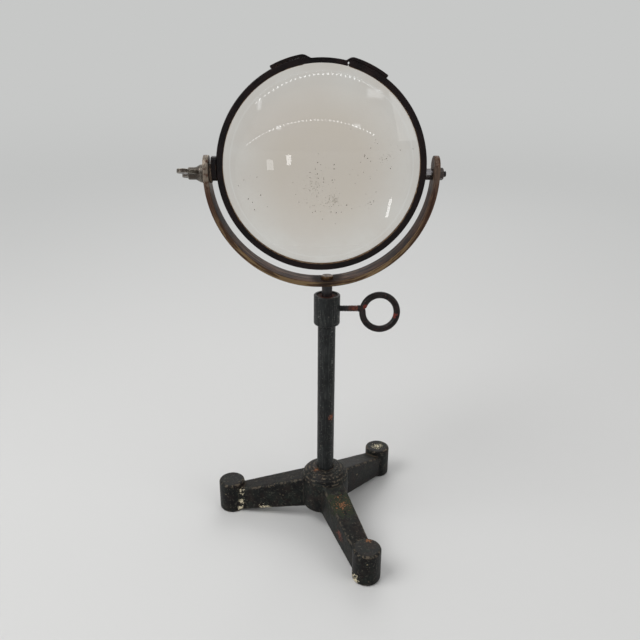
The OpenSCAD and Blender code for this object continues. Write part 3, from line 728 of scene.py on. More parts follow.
def eased(piece, width, degrees):
    """Rounds off the edges that turn by more than some degrees."""
    bevel = piece.modifiers.new("Eased edges", "BEVEL")
    bevel.width = width
    bevel.segments = 3
    bevel.limit_method = "ANGLE"
    bevel.angle_limit = radians(degrees)
    return bevel


def dressed(name, node, material, edge):
    """A CAD node's own form with its edges eased, as a filed piece has."""
    piece = keep(merged_copy(node), name, material)
    eased(piece, edge, 30).harden_normals = True
    return piece


def as_mesh(piece):
    """Runs a piece's modifiers and keeps the result as its plain mesh."""
    ready = piece.evaluated_get(bpy.context.evaluated_depsgraph_get())
    piece.data = bpy.data.meshes.new_from_object(ready)
    piece.modifiers.clear()
    return piece


def smooth_by_angle(piece, degrees):
    """Shades a grown mesh smooth but for its sharp edges."""
    bm = bmesh.new()
    bm.from_mesh(piece.data)
    shade(bm, degrees)
    bm.to_mesh(piece.data)
    bm.free()


def cut(piece, cutter):
    """Takes the cutter's form out of a piece; as_mesh keeps the result."""
    saw = piece.modifiers.new("Cut", "BOOLEAN")
    saw.operation = "DIFFERENCE"
    saw.object = cutter


def grow(piece, name, tree, values):
    """Gives a piece a node tree with its named sizes."""
    grower = piece.modifiers.new(name, "NODES")
    grower.node_group = tree
    for item in tree.interface.items_tree:
        if item.item_type == "SOCKET" and item.in_out == "INPUT" and item.name in values:
            grower[item.identifier] = values[item.name]


def grown(name, tree, values, place=None, base=None):
    """Runs a node tree and keeps what it grows."""
    piece = placed(name, base or bpy.data.meshes.new(name))
    grow(piece, "Grow", tree, values)
    as_mesh(piece)
    if place is not None:
        piece.data.transform(place)
    return piece


def open_tree(name, *inputs):
    """A growing tree, with its inputs and the finish that it wears."""
    return open_group(name, "GeometryNodeTree", [*inputs, ("Finish", "Material", None)],
                      [("Geometry", "Geometry", None)])


def lifted(geometry, height):
    """Geometry moved up by a height."""
    tree = geometry.id_data
    shift = got(tree, "ShaderNodeCombineXYZ", {"Z": height})
    return got(tree, "GeometryNodeTransform", {"Geometry": geometry, "Translation": shift})


def end_tree(tree, geometry, material, result):
    """Every growing tree ends alike: real geometry with its finish on it."""
    solid = got(tree, "GeometryNodeRealizeInstances", {0: geometry})
    painted = put(tree, "GeometryNodeSetMaterial", {"Geometry": solid, "Material": material})
    tree.links.new(painted.outputs[0], result.inputs[0])
    return tree


def thread_tree():
    """A screw's thread: a ridge that winds round a core, from z = 0 upwards."""
    tree, given, result = open_tree(
        "Thread", ("Radius", "Float", 0.002), ("Pitch", "Float", 0.0008), ("Depth", "Float", 0.0004),
        ("Length", "Float", 0.01))
    core_r = minus(given["Radius"], given["Depth"])
    climb = times_plus(given["Depth"], -2.0, given["Length"])
    winding = got(tree, "GeometryNodeCurveSpiral",
                  {"Resolution": 40, "Rotations": over(climb, given["Pitch"]),
                   "Start Radius": core_r, "End Radius": core_r, "Height": climb})
    upright = got(tree, "GeometryNodeSetCurveNormal", {"Curve": winding}, mode="Z_UP")
    ridge = got(tree, "GeometryNodeCurvePrimitiveCircle", {"Resolution": 4, "Radius": given["Depth"]})
    wound = got(tree, "GeometryNodeCurveToMesh",
                {"Curve": upright, "Profile Curve": ridge, "Fill Caps": True})
    core = got(tree, "GeometryNodeMeshCylinder",
               {"Vertices": 40, "Radius": core_r, "Depth": given["Length"]})
    both = tree.nodes.new("GeometryNodeJoinGeometry")
    for part, height in ((wound, given["Depth"]), (core, times(given["Length"], 0.5))):
        tree.links.new(lifted(part, height), both.inputs[0])
    return end_tree(tree, both.outputs[0], given["Finish"], result)


def hoop_tree():
    """A flat outline swept round a hoop of a Radius, from one angle by a Sweep."""
    tree, given, result = open_tree(
        "Hoop", ("Section", "Geometry", None), ("Radius", "Float", 0.05), ("From", "Float", 0.0),
        ("Sweep", "Float", 6.0))
    section = got(tree, "GeometryNodeMeshToCurve", {0: given["Section"]})
    hoop = got(tree, "GeometryNodeCurveArc",
               {"Resolution": 240, "Radius": given["Radius"], "Start Angle": given["From"],
                "Sweep Angle": given["Sweep"]})
    level = got(tree, "GeometryNodeSetCurveNormal", {"Curve": hoop}, mode="Z_UP")
    swept = got(tree, "GeometryNodeCurveToMesh",
                {"Curve": level, "Profile Curve": section, "Fill Caps": True})
    return end_tree(tree, swept, given["Finish"], result)


def pad_screw_tree():
    """Slotted countersunk heads on points, each facing away from the Centre."""
    tree, given, result = open_tree(
        "Pad screws", ("Places", "Geometry", None), ("Centre", "Vector", (0, 0, 0)),
        ("Head", "Float", 0.0018), ("Height", "Float", 0.0008), ("Slot", "Float", 0.0005))
    head = got(tree, "GeometryNodeMeshCone",
               {"Vertices": 32, "Radius Top": given["Head"],
                "Radius Bottom": times(given["Head"], 0.55),
                "Depth": given["Height"]})
    slot_size = got(tree, "ShaderNodeCombineXYZ",
                    {"X": times(given["Head"], 3.0), "Y": given["Slot"],
                     "Z": given["Slot"]})
    cutter = lifted(got(tree, "GeometryNodeMeshCube", {"Size": slot_size}), given["Height"])
    slotted = got(tree, "GeometryNodeMeshBoolean", {"Mesh 1": head, "Mesh 2": cutter},
                  operation="DIFFERENCE")
    away = vector("SUBTRACT", got(tree, "GeometryNodeInputPosition"), given["Centre"])
    aim = got(tree, "FunctionNodeAlignRotationToVector", {"Vector": away}, axis="Z")
    heads = got(tree, "GeometryNodeInstanceOnPoints",
                {"Points": given["Places"], "Instance": slotted, "Rotation": aim})
    return end_tree(tree, heads, given["Finish"], result)


def cast_skin_tree():
    """Moves a fine mesh in and out by noise, as the sand of a mould leaves it.

    Each point also keeps how far it stands out from what is round it, as its
    bulge: near 1 on an edge, near -1 in a corner. The finish wears by it.
    """
    tree, given, result = open_tree(
        "Cast skin", ("Form", "Geometry", None), ("Depth", "Float", 0.0001), ("Size", "Float", 0.01),
        ("Edge", "Float", 0.0003))
    place = tree.nodes.new("GeometryNodeInputPosition").outputs[0]
    normal = tree.nodes.new("GeometryNodeInputNormal").outputs[0]
    blur = put(tree, "GeometryNodeBlurAttribute", {"Iterations": 10}, data_type="FLOAT_VECTOR")
    socket = next(s for s in blur.inputs if s.enabled and s.type == "VECTOR")
    tree.links.new(place, socket)
    mean = next(s for s in blur.outputs if s.enabled and s.type == "VECTOR")
    rise = vector("DOT_PRODUCT", vector("SUBTRACT", place, mean), normal)
    stands_out = over(rise, given["Edge"])
    kept = got(tree, "GeometryNodeStoreNamedAttribute",
               {"Geometry": given["Form"], "Name": "bulge", "Value": stands_out},
               data_type="FLOAT", domain="POINT")
    noise = put(tree, "ShaderNodeTexNoise",
                {"Scale": over(1.0, given["Size"]), "Detail": 3.0}).outputs["Fac"]
    swing = times(minus(noise, 0.5), given["Depth"])
    moved = got(tree, "GeometryNodeSetPosition",
                {"Geometry": kept, "Offset": vector("SCALE", normal, swing)})
    return end_tree(tree, moved, given["Finish"], result)


THREAD = thread_tree()
HOOP = hoop_tree()
PAD_SCREWS = pad_screw_tree()
CAST_SKIN = cast_skin_tree()


def outline_mesh(name, points):
    """A closed flat outline as bare edges, for a tree to sweep."""
    mesh = bpy.data.meshes.new(name)
    count = len(points)
    mesh.from_pydata([(p[0], p[1], 0) for p in points], [(i, (i + 1) % count) for i in range(count)], [])
    return mesh


# ------------------------------------------------------------- the tripod
def cast(name, node, material, grain, ease, **values):
    """A cast piece: the CAD form remeshed at a fine grain, eased and given its cast skin."""
    piece = keep(merged_copy(node), name, material)
    skin = piece.modifiers.new("Skin", "REMESH")
    skin.mode = "VOXEL"
    skin.voxel_size = grain
    soften = piece.modifiers.new("Ease", "SMOOTH")
    soften.factor = 0.5
    soften.iterations = ease
    grow(piece, "Sand", CAST_SKIN, {"Finish": material, **values})
    as_mesh(piece)
    for face in piece.data.polygons:
        face.use_smooth = True
    return piece


def tripod():
    """The casting: hub, legs and feet in one skin, its dome turned in steps."""
    casting = cast("tripod_casting", "tripod_base", IRON_PAINT, 0.5 * MM, 4, Depth=0.3 * MM, Size=6 * MM,
                   Edge=0.3 * MM)
    for vertex in casting.data.vertices:
        vertex.co.z = max(vertex.co.z, 0)
    settle(casting, "stand", "casting", "tripod_base")

    crown_r = COLUMN_R + 1 * MM
    rise = HUB_TOP - HUB_SHOULDER
    steps = DOME_BEADS * 16

    def groove(t):
        """1 in the groove between two beads, 0 on a bead's back."""
        return 1 - abs(sin(t * 2 * DOME_BEADS))

    dome = [(HUB_R - 0.5 * MM, HUB_SHOULDER - 1.5 * MM)]
    for i in range(steps + 1):
        t = pi / 2 * i / steps
        sink = BEAD_DEPTH * groove(t) ** 2
        dome.append((crown_r + (HUB_R - sink - crown_r) * cos(t), HUB_SHOULDER + (rise - sink) * sin(t)))
    dome.append((COLUMN_R, HUB_TOP - 0.3 * MM))
    cap = settle(turned("hub_dome", dome, IRON_PAINT, steps=144, sharp=50), "stand", "casting")
    bulge = cap.data.attributes.new("bulge", "FLOAT", "POINT")
    for vertex, mark in zip(cap.data.vertices, bulge.data):
        out = (vertex.co.xy.length - crown_r) / (HUB_R - crown_r)
        t = atan2((vertex.co.z - HUB_SHOULDER) / rise, out)
        mark.value = 1 - 2 * groove(t)


# ------------------------------------------------- column, collar and rod
def column():
    """The column with its spigot and bore, the collar round its top and the rod in it."""
    bore_r = ROD_R + 2 * PLAY
    tube = rounded([(0, SPIGOT_LOW), (SPIGOT_R, SPIGOT_LOW, 0.4 * MM), (SPIGOT_R, SPIGOT_TOP),
                    (COLUMN_R, SPIGOT_TOP), (COLUMN_R, COLUMN_TOP, 0.3 * MM),
                    (bore_r, COLUMN_TOP, 0.3 * MM), (bore_r, BORE_FLOOR), (0, BORE_FLOOR)])
    settle(turned("column_shaft", tube, COLUMN_PAINT, steps=128), "stand", "column", "column_tube")

    rim = COLLAR_R - 1.5 * MM
    collar = rounded([(COLUMN_R + PLAY, COLLAR_LOW), (COLLAR_R, COLLAR_LOW, 2.4 * MM),
                      (COLLAR_R, COLLAR_TOP, 1.1 * MM), (rim, COLLAR_TOP, 0.3 * MM),
                      (rim - 0.3 * MM, COLUMN_TOP), (COLUMN_R + PLAY, COLUMN_TOP)],
                     closed=True, steps=8)
    settle(turned("column_collar", collar, COLUMN_PAINT, closed=True, steps=128), "stand", "column",
           "clamp_collar")

    tip = 1 * MM
    rod = [(0, ROD_LOW), (ROD_R - tip, ROD_LOW), (ROD_R, ROD_LOW + tip), (ROD_R, ROD_TOP), (0, ROD_TOP)]
    settle(turned("sliding_rod", rod, ROD_STEEL, steps=96), "mast", "rod", "mast_rod")


def eye_screw():
    """The clamping screw: a wire bent to an eye, its straight end threaded."""
    to_eye = Matrix.Translation((0, 0, EYE_Z)) @ Matrix.Rotation(EYE_TURN, 4, "X")
    tip_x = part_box("eye_screw")[0].x
    loop_left = EYE_CENTRE_X - EYE_LOOP_R
    thread_end = loop_left - 2.2 * MM
    settle(grown("eye_thread", THREAD,
                 {"Radius": EYE_SHANK_R, "Pitch": 0.95 * MM, "Depth": 0.42 * MM,
                  "Length": thread_end - tip_x, "Finish": THREAD_RUST},
                 to_eye @ Matrix.Translation((tip_x, 0, 0)) @ facing(RIGHT)), "eye", "eye")
    # The wire leaves the thread, bends down and runs round to butt on itself
    sink = asin(EYE_SAG / EYE_LOOP_R)
    bend = Vector((loop_left, 0, 0))
    before = Vector((thread_end - 0.8 * MM, 0, 0))
    after = Vector((loop_left, 0, -EYE_SAG))
    path = [before] + [before.lerp(bend, t).lerp(bend.lerp(after, t), t)
                       for t in (k / 8 for k in range(1, 8))]
    steps = 72
    end = tau + pi - sink - radians(3)
    for i in range(steps + 1):
        t = pi + (end - pi) * i / steps
        path.append(Vector((EYE_CENTRE_X + EYE_LOOP_R * cos(t), 0, EYE_LOOP_R * sin(t) - EYE_SAG)))
    bm = bmesh.new()
    sides = 24
    rings = []
    across = Vector((0, 1, 0))
    for i, point in enumerate(path):
        ahead = path[min(i + 1, len(path) - 1)] - path[max(i - 1, 0)]
        out = across.cross(ahead).normalized()
        thin = 0.92 if i in (0, len(path) - 1) else 1.0
        rings.append([bm.verts.new(point + EYE_WIRE_R * thin * (cos(a) * across + sin(a) * out))
                      for a in (tau * k / sides for k in range(sides))])
    joined(bm, rings, capped=True)
    settle(keep(bm, "eye_loop", EYE_PAINT, to_eye, sharp=50), "eye", "eye", "eye_screw")


# --------------------------------------------------------------- the yoke
def bent(along):
    """Point in the middle of the bent strip and its outward direction."""
    side = 1 if along >= 0 else -1
    run = abs(along) - BOW_FLAT / 2
    middle_r = BOW_R + STRIP_T / 2
    if run <= 0:
        return Vector((along, 0, -middle_r)), Vector((0, 0, -1))
    turn = min(run / middle_r, pi / 2)
    up = max(run - middle_r * pi / 2, 0)
    out = Vector((side * sin(turn), 0, -cos(turn)))
    return out * middle_r + Vector((side * BOW_FLAT / 2, 0, up)), out


def yoke_strip():
    """A flat strip with round ends and eased edges, bent to the bow."""
    half_w = STRIP_W / 2
    half_l = BOW_FLAT / 2 + (BOW_R + STRIP_T / 2) * pi / 2 + ARM_UP - half_w
    end_steps, run_steps, edge_steps = 12, 150, 4
    columns = [(-half_l, -pi / 2 + pi / 2 * k / end_steps) for k in range(end_steps)]
    columns += [(-half_l + 2 * half_l * k / run_steps, 0) for k in range(run_steps + 1)]
    columns += [(half_l, pi / 2 * k / end_steps) for k in range(1, end_steps + 1)]
    side = [(STRIP_EDGE * (1 - cos(a)), -STRIP_T / 2 + STRIP_EDGE * (1 - sin(a)))
            for a in (pi / 2 * k / edge_steps for k in range(edge_steps + 1))][::-1]
    levels = side + [(inset, -thick) for inset, thick in side[::-1]]
    bm = bmesh.new()
    rings = []
    for centre, turn in columns:
        ring = []
        for flip in (1, -1):
            row = levels if flip == 1 else levels[::-1]
            for inset, thick in row:
                reach = half_w - inset
                point, out = bent(centre + reach * sin(turn))
                ring.append(bm.verts.new(PIVOT + point + out * thick
                                         + Vector((0, flip * reach * cos(turn), 0))))
        rings.append(ring)
    joined(bm, rings)
    bmesh.ops.remove_doubles(bm, verts=bm.verts, dist=0.002 * MM)
    bmesh.ops.dissolve_degenerate(bm, dist=0.001 * MM, edges=bm.edges)
    bmesh.ops.holes_fill(bm, edges=bm.edges, sides=0)
    settle(keep(bm, "yoke_strip", YOKE_BRASS, sharp=40), "fork", "yoke_strip", "yoke")

    head_r, _, head_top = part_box("yoke_screw")[1]
    head_low = head_top - 3 * MM
    head = rounded([(0, head_low), (head_r, head_low, 0.2 * MM), (head_r, head_top, 0.9 * MM),
                    (0, head_top)], steps=7)
    settle(turned("yoke_screw_head", head, HEAD_BRASS, steps=96), "mast", "brass_head", "yoke_screw")


# ----------------------------------------------- the ring and its glass
UPRIGHT = Matrix.Translation(RING) @ Matrix.Rotation(pi / 2, 4, "X")


def polar(radius, degrees):
    """A point of the ring's plane by its radius and direction."""
    turn = radians(degrees)
    return (radius * cos(turn), radius * sin(turn))


def arc_points(radius, start, end, steps):
    """Points along an arc, from one direction to another."""
    return [polar(radius, start + (end - start) * i / steps) for i in range(steps + 1)]


def hoop(name, section, start, end, material):
    """Sweeps a section, as (radius, depth) points, round the ring."""
    base = outline_mesh(name, [(p[0] - BAND_R, p[1]) for p in section])
    return grown(name, HOOP, {"Radius": BAND_R, "From": radians(start),
                              "Sweep": radians(end - start), "Finish": material}, UPRIGHT, base)


def lens_ring():
    """The split ring with its lips, the two packings and the glass between them."""
    half = BAND_W / 2
    floor_r = BAND_R - BAND_T
    band = [(LIP_R, half, 0.35 * MM), (BAND_R, half, 0.7 * MM), (BAND_R, -half, 0.7 * MM),
            (LIP_R, -half, 0.35 * MM), (LIP_R, LIP_T - half, 0.3 * MM), (floor_r, LIP_T - half),
            (floor_r, half - LIP_T), (LIP_R, half - LIP_T, 0.3 * MM)]
    ring = hoop("ring_channel", rounded(band, closed=True), GAP_TO - 360, GAP_FROM, LACQUER)
    smooth_by_angle(ring, 35)
    settle(ring, "lens_ring", "ring_black", "ring_band")

    for name, side in (("front_packing", -1), ("rear_packing", 1)):
        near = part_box(name)[0].y if side > 0 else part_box(name)[1].y
        far = side * (half - LIP_T - PLAY)
        inner = LIP_R - 0.25 * MM
        strip = [(inner, near, 0.2 * MM), (inner, far, 0.2 * MM), (floor_r - PLAY, far),
                 (floor_r - PLAY, near)]
        packing = hoop("packing_" + name.split("_")[0], rounded(strip, closed=True), GAP_TO - 359,
                       GAP_FROM - 1, PACKING)
        settle(packing, "lens_ring", "packing", name)

    half_edge = GLASS_EDGE / 2
    sag = GLASS_FACE_R - sqrt(GLASS_FACE_R ** 2 - GLASS_R ** 2)
    face = []
    steps = 40
    for i in range(steps + 1):
        r = GLASS_R * i / steps
        face.append((r, half_edge + sag - GLASS_FACE_R + sqrt(GLASS_FACE_R ** 2 - r ** 2)))
    both_faces = face + [(r, -z) for r, z in face[::-1]]
    settle(turned("glass", both_faces, GLASS, UPRIGHT, steps=256, sharp=30), "lens_ring", "glass",
           "lens")


def closing_bridge():
    """The piece that closes the gap: a thin bar between two thick pads."""
    bar_from = GAP_FROM + SLIT
    skirt = BAND_R + PLAY
    hump_right = polar(PAD_R, bar_from - PAD_NOSE / 2) + (4 * MM,)
    hump_left = polar(PAD_R, GAP_TO) + (5 * MM,)
    outline = rounded(
        [polar(PAD_R, PAD_RIGHT) + (0.5 * MM,)]
        + arc_points(PAD_R, PAD_RIGHT + 2, bar_from - PAD_NOSE / 2 - 4, 12) + [hump_right]
        + [polar(BAR_R, bar_from + PAD_NOSE / 2) + (1 * MM,)]
        + arc_points(BAR_R, bar_from + 3, GAP_TO - PAD_NOSE * 1.5 - 3, 10)
        + [polar(BAR_R, GAP_TO - PAD_NOSE * 1.5) + (1 * MM,)] + [hump_left]
        + arc_points(PAD_R, GAP_TO + 4, PAD_LEFT - 2, 12) + [polar(PAD_R, PAD_LEFT) + (0.5 * MM,)]
        + arc_points(skirt, PAD_LEFT, GAP_TO - END_GAP, 12)
        + arc_points(LIP_R, GAP_TO - END_GAP, bar_from, 12)
        + [polar(SLIT_TOP_R, bar_from), polar(SLIT_TOP_R, GAP_FROM + END_GAP)]
        + arc_points(skirt, GAP_FROM + END_GAP, PAD_RIGHT, 12), closed=True, steps=6)
    bm = bmesh.new()
    face = bm.faces.new([bm.verts.new((p[0], p[1], -BAND_W / 2)) for p in outline])
    up = bmesh.ops.extrude_face_region(bm, geom=[face])["geom"]
    bmesh.ops.translate(bm, vec=(0, 0, BAND_W),
                        verts=[v for v in up if isinstance(v, bmesh.types.BMVert)])
    bridge = keep(bm, "bridge_pads", LACQUER, UPRIGHT)
    eased(bridge, 0.45 * MM, 50)
    # The channel for the glass's rim and the hole that ends the slit
    rim_r = GLASS_R + 0.2 * MM
    channel = turned("channel_cutter", [(0, LIP_T - BAND_W / 2), (rim_r, LIP_T - BAND_W / 2),
                                        (rim_r, BAND_W / 2 - LIP_T), (0, BAND_W / 2 - LIP_T)],
                     LACQUER, UPRIGHT, steps=240)
    x, y = polar(SLIT_TOP_R - SLIT_HOLE_R, GAP_FROM + SLIT / 2)
    drill = turned("drill_cutter", [(0, -BAND_W), (SLIT_HOLE_R, -BAND_W), (SLIT_HOLE_R, BAND_W),
                                    (0, BAND_W)], LACQUER, UPRIGHT @ Matrix.Translation((x, y, 0)),
                   steps=32)
    cut(bridge, channel)
    cut(bridge, drill)
    as_mesh(bridge)
    smooth_by_angle(bridge, 30)
    settle(bridge, "lens_ring", "ring_black", "closing_bridge")
    ring = bpy.data.objects["ring_channel"]
    cut(ring, drill)
    as_mesh(ring)
    smooth_by_angle(ring, 35)
    for cutter in (channel, drill):
        bpy.data.objects.remove(cutter)

    # Two screws in each pad, sunk a little under its back
    head_h = 0.8 * MM
    places = []
    for start, end in ((GAP_TO, PAD_LEFT), (PAD_RIGHT, GAP_FROM)):
        for i in (1.25, 2.25):
            x, y = polar(PAD_R - 0.3 * MM - head_h, start + (end - start) * i / 3.5)
            places.append(RING + Vector((x, 0, y)))
    base = bpy.data.meshes.new("pad_screws")
    base.from_pydata([p - RING for p in places], [], [])
    screws = grown("pad_screws", PAD_SCREWS,
                   {"Head": 1.8 * MM, "Height": head_h, "Slot": 0.45 * MM, "Finish": LACQUER},
                   Matrix.Translation(RING), base)
    settle(screws, "lens_ring", "ring_black", "bridge_screws")


# ------------------------------------------------------------- the pivots
def pivots():
    """What the ring turns on: plate, disc, stud, washer and wing nut left, stud and nut right."""
    left = Matrix.Translation(PIVOT) @ facing(LEFT)
    right = Matrix.Translation(PIVOT) @ facing(RIGHT)

    def span(node):
        """How far a node reaches along the tilt axis from the pivot, near and far."""
        low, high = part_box(node)[0].x - PIVOT.x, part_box(node)[1].x - PIVOT.x
        return sorted((abs(low), abs(high)))

    settle(dressed("pivot_plate", "pivot_pad", LACQUER, 0.35 * MM), "lens_ring", "ring_black",
           "pivot_pad")

    rivet_near, rivet_far = span("pad_rivet")
    face = span("pivot_pad")[1]
    rivet_r = 1.3 * MM
    dome = [(rivet_r * cos(radians(a)), face + (rivet_far - face) * sin(radians(a)))
            for a in range(0, 91, 10)]
    rivet = [(0, rivet_near), (rivet_r / 2, rivet_near), (rivet_r / 2, face),
             (rivet_r, face - 0.05 * MM)]
    settle(turned("plate_rivet", rivet + dome[:-1] + [(0, rivet_far)], LACQUER,
                  left @ Matrix.Translation((RIVET_OUT, 0, 0)), steps=48), "lens_ring", "ring_black",
           "pad_rivet")

    def flat_ring(name, node, inner, edge, material, body, slot):
        """A disc or washer as wide and thick as its node, with its edges eased."""
        near, far = span(node)
        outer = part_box(node)[1].y
        section = rounded([(inner, near, edge / 2), (outer, near, edge), (outer, far, edge),
                           (inner, far, edge / 2)], closed=True)
        settle(turned(name, section, material, left, closed=True), body, slot, node)

    flat_ring("fibre_disc", "spacer_disc", 2.38 * MM, 0.25 * MM, DISC_FIBRE, "lens_ring", "disc_brown")
    flat_ring("thin_washer", "wing_washer", 2.4 * MM, 0.2 * MM, WING_METAL, "washer", "wing_metal")

    near, far = span("wing_stud")
    settle(grown("stud_thread_left", THREAD,
                 {"Radius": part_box("wing_stud")[1].y, "Pitch": 0.9 * MM, "Depth": 0.38 * MM,
                  "Length": far - near, "Finish": WING_METAL},
                 left @ Matrix.Translation((0, 0, near))), "lens_ring", "wing_metal", "wing_stud")

    near, far = span("nut_stud")
    settle(grown("stud_thread_right", THREAD,
                 {"Radius": 1.8 * MM, "Pitch": 0.8 * MM, "Depth": 0.33 * MM, "Length": far - near,
                  "Finish": ROD_STEEL}, right @ Matrix.Translation((0, 0, near))), "lens_ring",
           "ring_black")
    corner_out = right @ Matrix.Rotation(pi / 6, 4, "Z")
    hexagon("stud_hexagon", BAND_R - 1 * MM, STUD_BODY_TO, STUD_STEEL, corner_out, "ring_black",
            "nut_stud")
    near, far = span("pivot_nut")
    hexagon("small_nut", near, far, PLAIN_STEEL, right, "wing_metal", "pivot_nut")

    nut = cast("wing_nut_cast", "wing_nut", WING_METAL, 0.17 * MM, 6, Depth=0.08 * MM, Size=2 * MM,
               Edge=0.1 * MM)
    settle(nut, "wing", "wing_metal", "wing_nut")


def hexagon(name, near, far, material, place, slot, *nodes):
    """A hexagon nut or body with its corners chamfered by the lathe."""
    flat_r = 3.05 * MM
    corner_r = flat_r / cos(pi / 6)
    # At both ends the chamfer takes nine tenths of what the corners stand out
    end_r = corner_r - (corner_r - flat_r) * 0.9
    bm = bmesh.new()
    side = 12
    levels = 6
    rings = []
    for k in range(levels + 1):
        height = near + (far - near) * k / levels
        from_end = min(height - near, far - height)
        rings.append([])
        for i in range(6 * side):
            turn = tau * i / (6 * side)
            flat = flat_r / cos(turn % (pi / 3) - pi / 6)
            radius = min(flat, end_r + from_end * 2.2)
            rings[-1].append(bm.verts.new((radius * cos(turn), radius * sin(turn), height)))
    joined(bm, rings, capped=True)
    settle(keep(bm, name, material, place, sharp=20), "lens_ring", slot, *nodes)


tripod()
column()
eye_screw()
yoke_strip()
lens_ring()
closing_bridge()
pivots()
# The two hidden pieces under the hub keep their CAD form
for node in ("column_washer", "column_nut"):
    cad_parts[node].data.materials[0] = PLAIN_STEEL


# ------------------------------------------------ floor, light and camera
BACKDROP = tone(199, 200, 199)


def paper_floor():
    """Lit paper that passes evenly into the backdrop, as seen from the camera."""
    reach = 12
    mesh = bpy.data.meshes.new("floor")
    mesh.from_pydata([(-reach, -reach, 0), (reach, -reach, 0), (reach, reach, 0), (-reach, reach, 0)],
                     [], [(0, 1, 2, 3)])
    floor = placed("floor", mesh)
    paper = Finish("Pale paper", tone(208, 208, 207), 0.7, specular=0.05)
    floor.data.materials.append(paper.done())
    tree = paper.tree
    glow = got(tree, "ShaderNodeEmission", {"Color": BACKDROP, "Strength": 1.0})
    # The camera stands 0.38 m in front: by 1 / (0.38 + distance) the change looks even
    near = over(1.0, plus(vector("LENGTH", paper.where), 0.38))
    far = minus(1.0, step_up(near, 0.12, 1.6))
    mixed = got(tree, "ShaderNodeMixShader", {0: far, 1: paper.shader.outputs[0], 2: glow})
    tree.links.new(mixed, tree.nodes["Material Output"].inputs["Surface"])


def between(value, low, high, soft):
    """1 between low and high, with soft ends."""
    return times(step_up(value, low - soft, low + soft), step_up(value, high + soft, high - soft))


def room():
    """Even light, the backdrop behind, and a dim room with its lamps that is only mirrored."""
    world = bpy.data.worlds.new("Studio")
    bpy.context.scene.world = world
    world.use_nodes = True
    tree = world.node_tree
    lit = tree.nodes["Background"]
    lit.inputs["Color"].default_value = (1.0, 1.0, 1.0, 1.0)
    lit.inputs["Strength"].default_value = 0.5
    seen = got(tree, "ShaderNodeBackground", {"Color": BACKDROP, "Strength": 1.0})
    # The side that the glass faces is a dim room; the paper is behind and above
    where = put(tree, "ShaderNodeTexCoord").outputs["Generated"]
    parts = put(tree, "ShaderNodeSeparateXYZ", {0: where}).outputs
    front = reckon("MAXIMUM", times(parts["Y"], -1.0), 0.02)
    across = over(parts["X"], front)
    height = over(parts["Z"], front)
    behind = step_up(times_plus(parts["Z"], 0.6, parts["Y"]), -0.5, 0.5)
    haze = times(step_up(height, 0.45, 0.0), 0.55)
    sockets = {0: reckon("MAXIMUM", behind, haze), 6: tone(52, 50, 49), 7: tone(214, 214, 213)}
    walls = put(tree, "ShaderNodeMix", sockets, data_type="RGBA").outputs[2]
    dim = got(tree, "ShaderNodeBackground", {"Color": walls, "Strength": 1.0})

    # Soft panels in front: left, right, low, high, softness and strength
    glow = 0.0
    for left, right, low, high, soft, strength in ((-0.5, 0.5, 0.95, 1.9, 0.1, 2.2),
                                                   (-1.5, -0.8, 0.1, 0.9, 0.2, 2.4),
                                                   (-0.46, -0.43, 0.27, 0.35, 0.015, 4.0),
                                                   (0.37, 0.5, 0.36, 0.43, 0.02, 3.0),
                                                   (-0.30, -0.265, 0.125, 0.15, 0.008, 5.0),
                                                   (0.25, 0.3, 0.14, 0.165, 0.01, 4.0)):
        pane = times(between(across, left, right, soft), between(height, low, high, soft))
        glow = times_plus(pane, strength, glow)
    # Two sagging rows of small ceiling lamps
    for level, sag, middle, gap, size in ((0.53, -0.7, 0.07, 0.034, 0.0112),
                                          (0.19, -0.6, 0.0, 0.027, 0.008)):
        from_middle = minus(across, middle)
        off = minus(height, times_plus(times(from_middle, from_middle), sag, level))
        beside = reckon("PINGPONG", from_middle, gap / 2)
        reach = reckon("SQRT", plus(times(off, off), times(beside, beside)))
        dots = times(step_up(reach, size, size * 0.4), between(from_middle, -0.55, 0.42, 0.02))
        glow = times_plus(dots, 8.0, glow)
    glow = times(glow, reckon("LESS_THAN", parts["Y"], -0.1))
    panes = got(tree, "ShaderNodeBackground", {"Color": tone(246, 250, 255), "Strength": glow})
    mirrored = got(tree, "ShaderNodeAddShader", {0: dim, 1: panes})
    path = put(tree, "ShaderNodeLightPath").outputs
    gloss = got(tree, "ShaderNodeMixShader", {0: path["Is Glossy Ray"], 1: lit.outputs[0], 2: mirrored})
    direct = reckon("MAXIMUM", path["Is Camera Ray"], path["Is Transmission Ray"])
    final = got(tree, "ShaderNodeMixShader", {0: direct, 1: gloss, 2: seen})
    tree.links.new(final, tree.nodes["World Output"].inputs["Surface"])


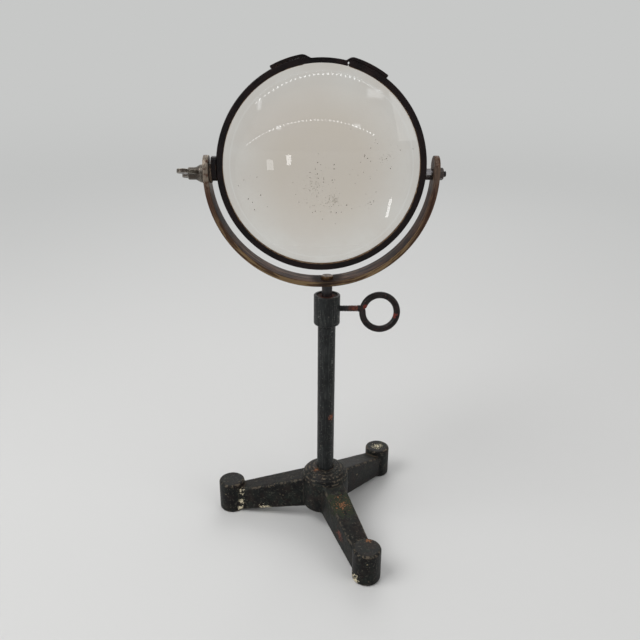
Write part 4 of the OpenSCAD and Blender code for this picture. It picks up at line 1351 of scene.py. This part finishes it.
def lamps():
    """Three large soft lamps, and four that only show in what mirrors them."""
    middle = Vector((0, 0, 0.12))
    # Name, place, what it looks at, width, height, brightness and whether it is only mirrored
    for name, place, look, wide, tall, bright, mirrored in (
            ("Key", (-0.7, -0.35, 1.1), middle, 0.8, 0.8, 4.5, False),
            ("Fill", (0.9, -0.7, 0.7), middle, 0.9, 0.9, 1.2, False),
            ("Back", (0.1, 1.0, 0.9), middle, 0.9, 0.9, 1.6, False),
            ("Side window", (-0.85, -0.5, 0.4), middle, 0.3, 0.8, 2.5, True),
            ("Small window", (-0.223, -0.985, 0.161), RING, 0.035, 0.074, 7.0, True),
            ("Far window", (-0.361, -0.945, 0.122), RING, 0.05, 0.075, 3.0, True),
            ("Low strip", (0.2, -0.28, 0.075), RING, 0.009, 0.056, 7.0, True)):
        lamp = bpy.data.lights.new(name, "AREA")
        lamp.shape = "RECTANGLE"
        lamp.size = wide
        lamp.size_y = tall
        lamp.energy = bright * pi * wide * tall
        holder = placed(name, lamp)
        holder.location = place
        holder.visible_transmission = False
        holder.visible_diffuse = not mirrored
        holder.rotation_euler = (look - Vector(place)).to_track_quat("-Z", "Y").to_euler()


def camera():
    """The photograph's viewing angle: a little above, looking down at the lens."""
    eye = bpy.data.cameras.new("View")
    eye.lens = 37.17
    eye.sensor_width = 36
    eye.sensor_fit = "HORIZONTAL"
    eye.clip_start = 0.01
    eye.dof.use_dof = False
    holder = placed("View", eye)
    pitch, yaw, roll = radians(21.48), radians(1.50), radians(0.38)
    look = Vector((sin(yaw) * cos(pitch), cos(yaw) * cos(pitch), -sin(pitch)))
    right = Vector((cos(yaw), -sin(yaw), 0))
    up = right.cross(look)
    level = cos(roll) * right + sin(roll) * up
    plumb = cos(roll) * up - sin(roll) * right
    frame_of = Matrix((level, plumb, -look)).transposed().to_4x4()
    holder.matrix_world = Matrix.Translation(mm(-14.06, -378.15, 293.24)) @ frame_of
    bpy.context.scene.camera = holder


paper_floor()
room()
lamps()
camera()
bpy.context.scene.view_settings.view_transform = "Standard"
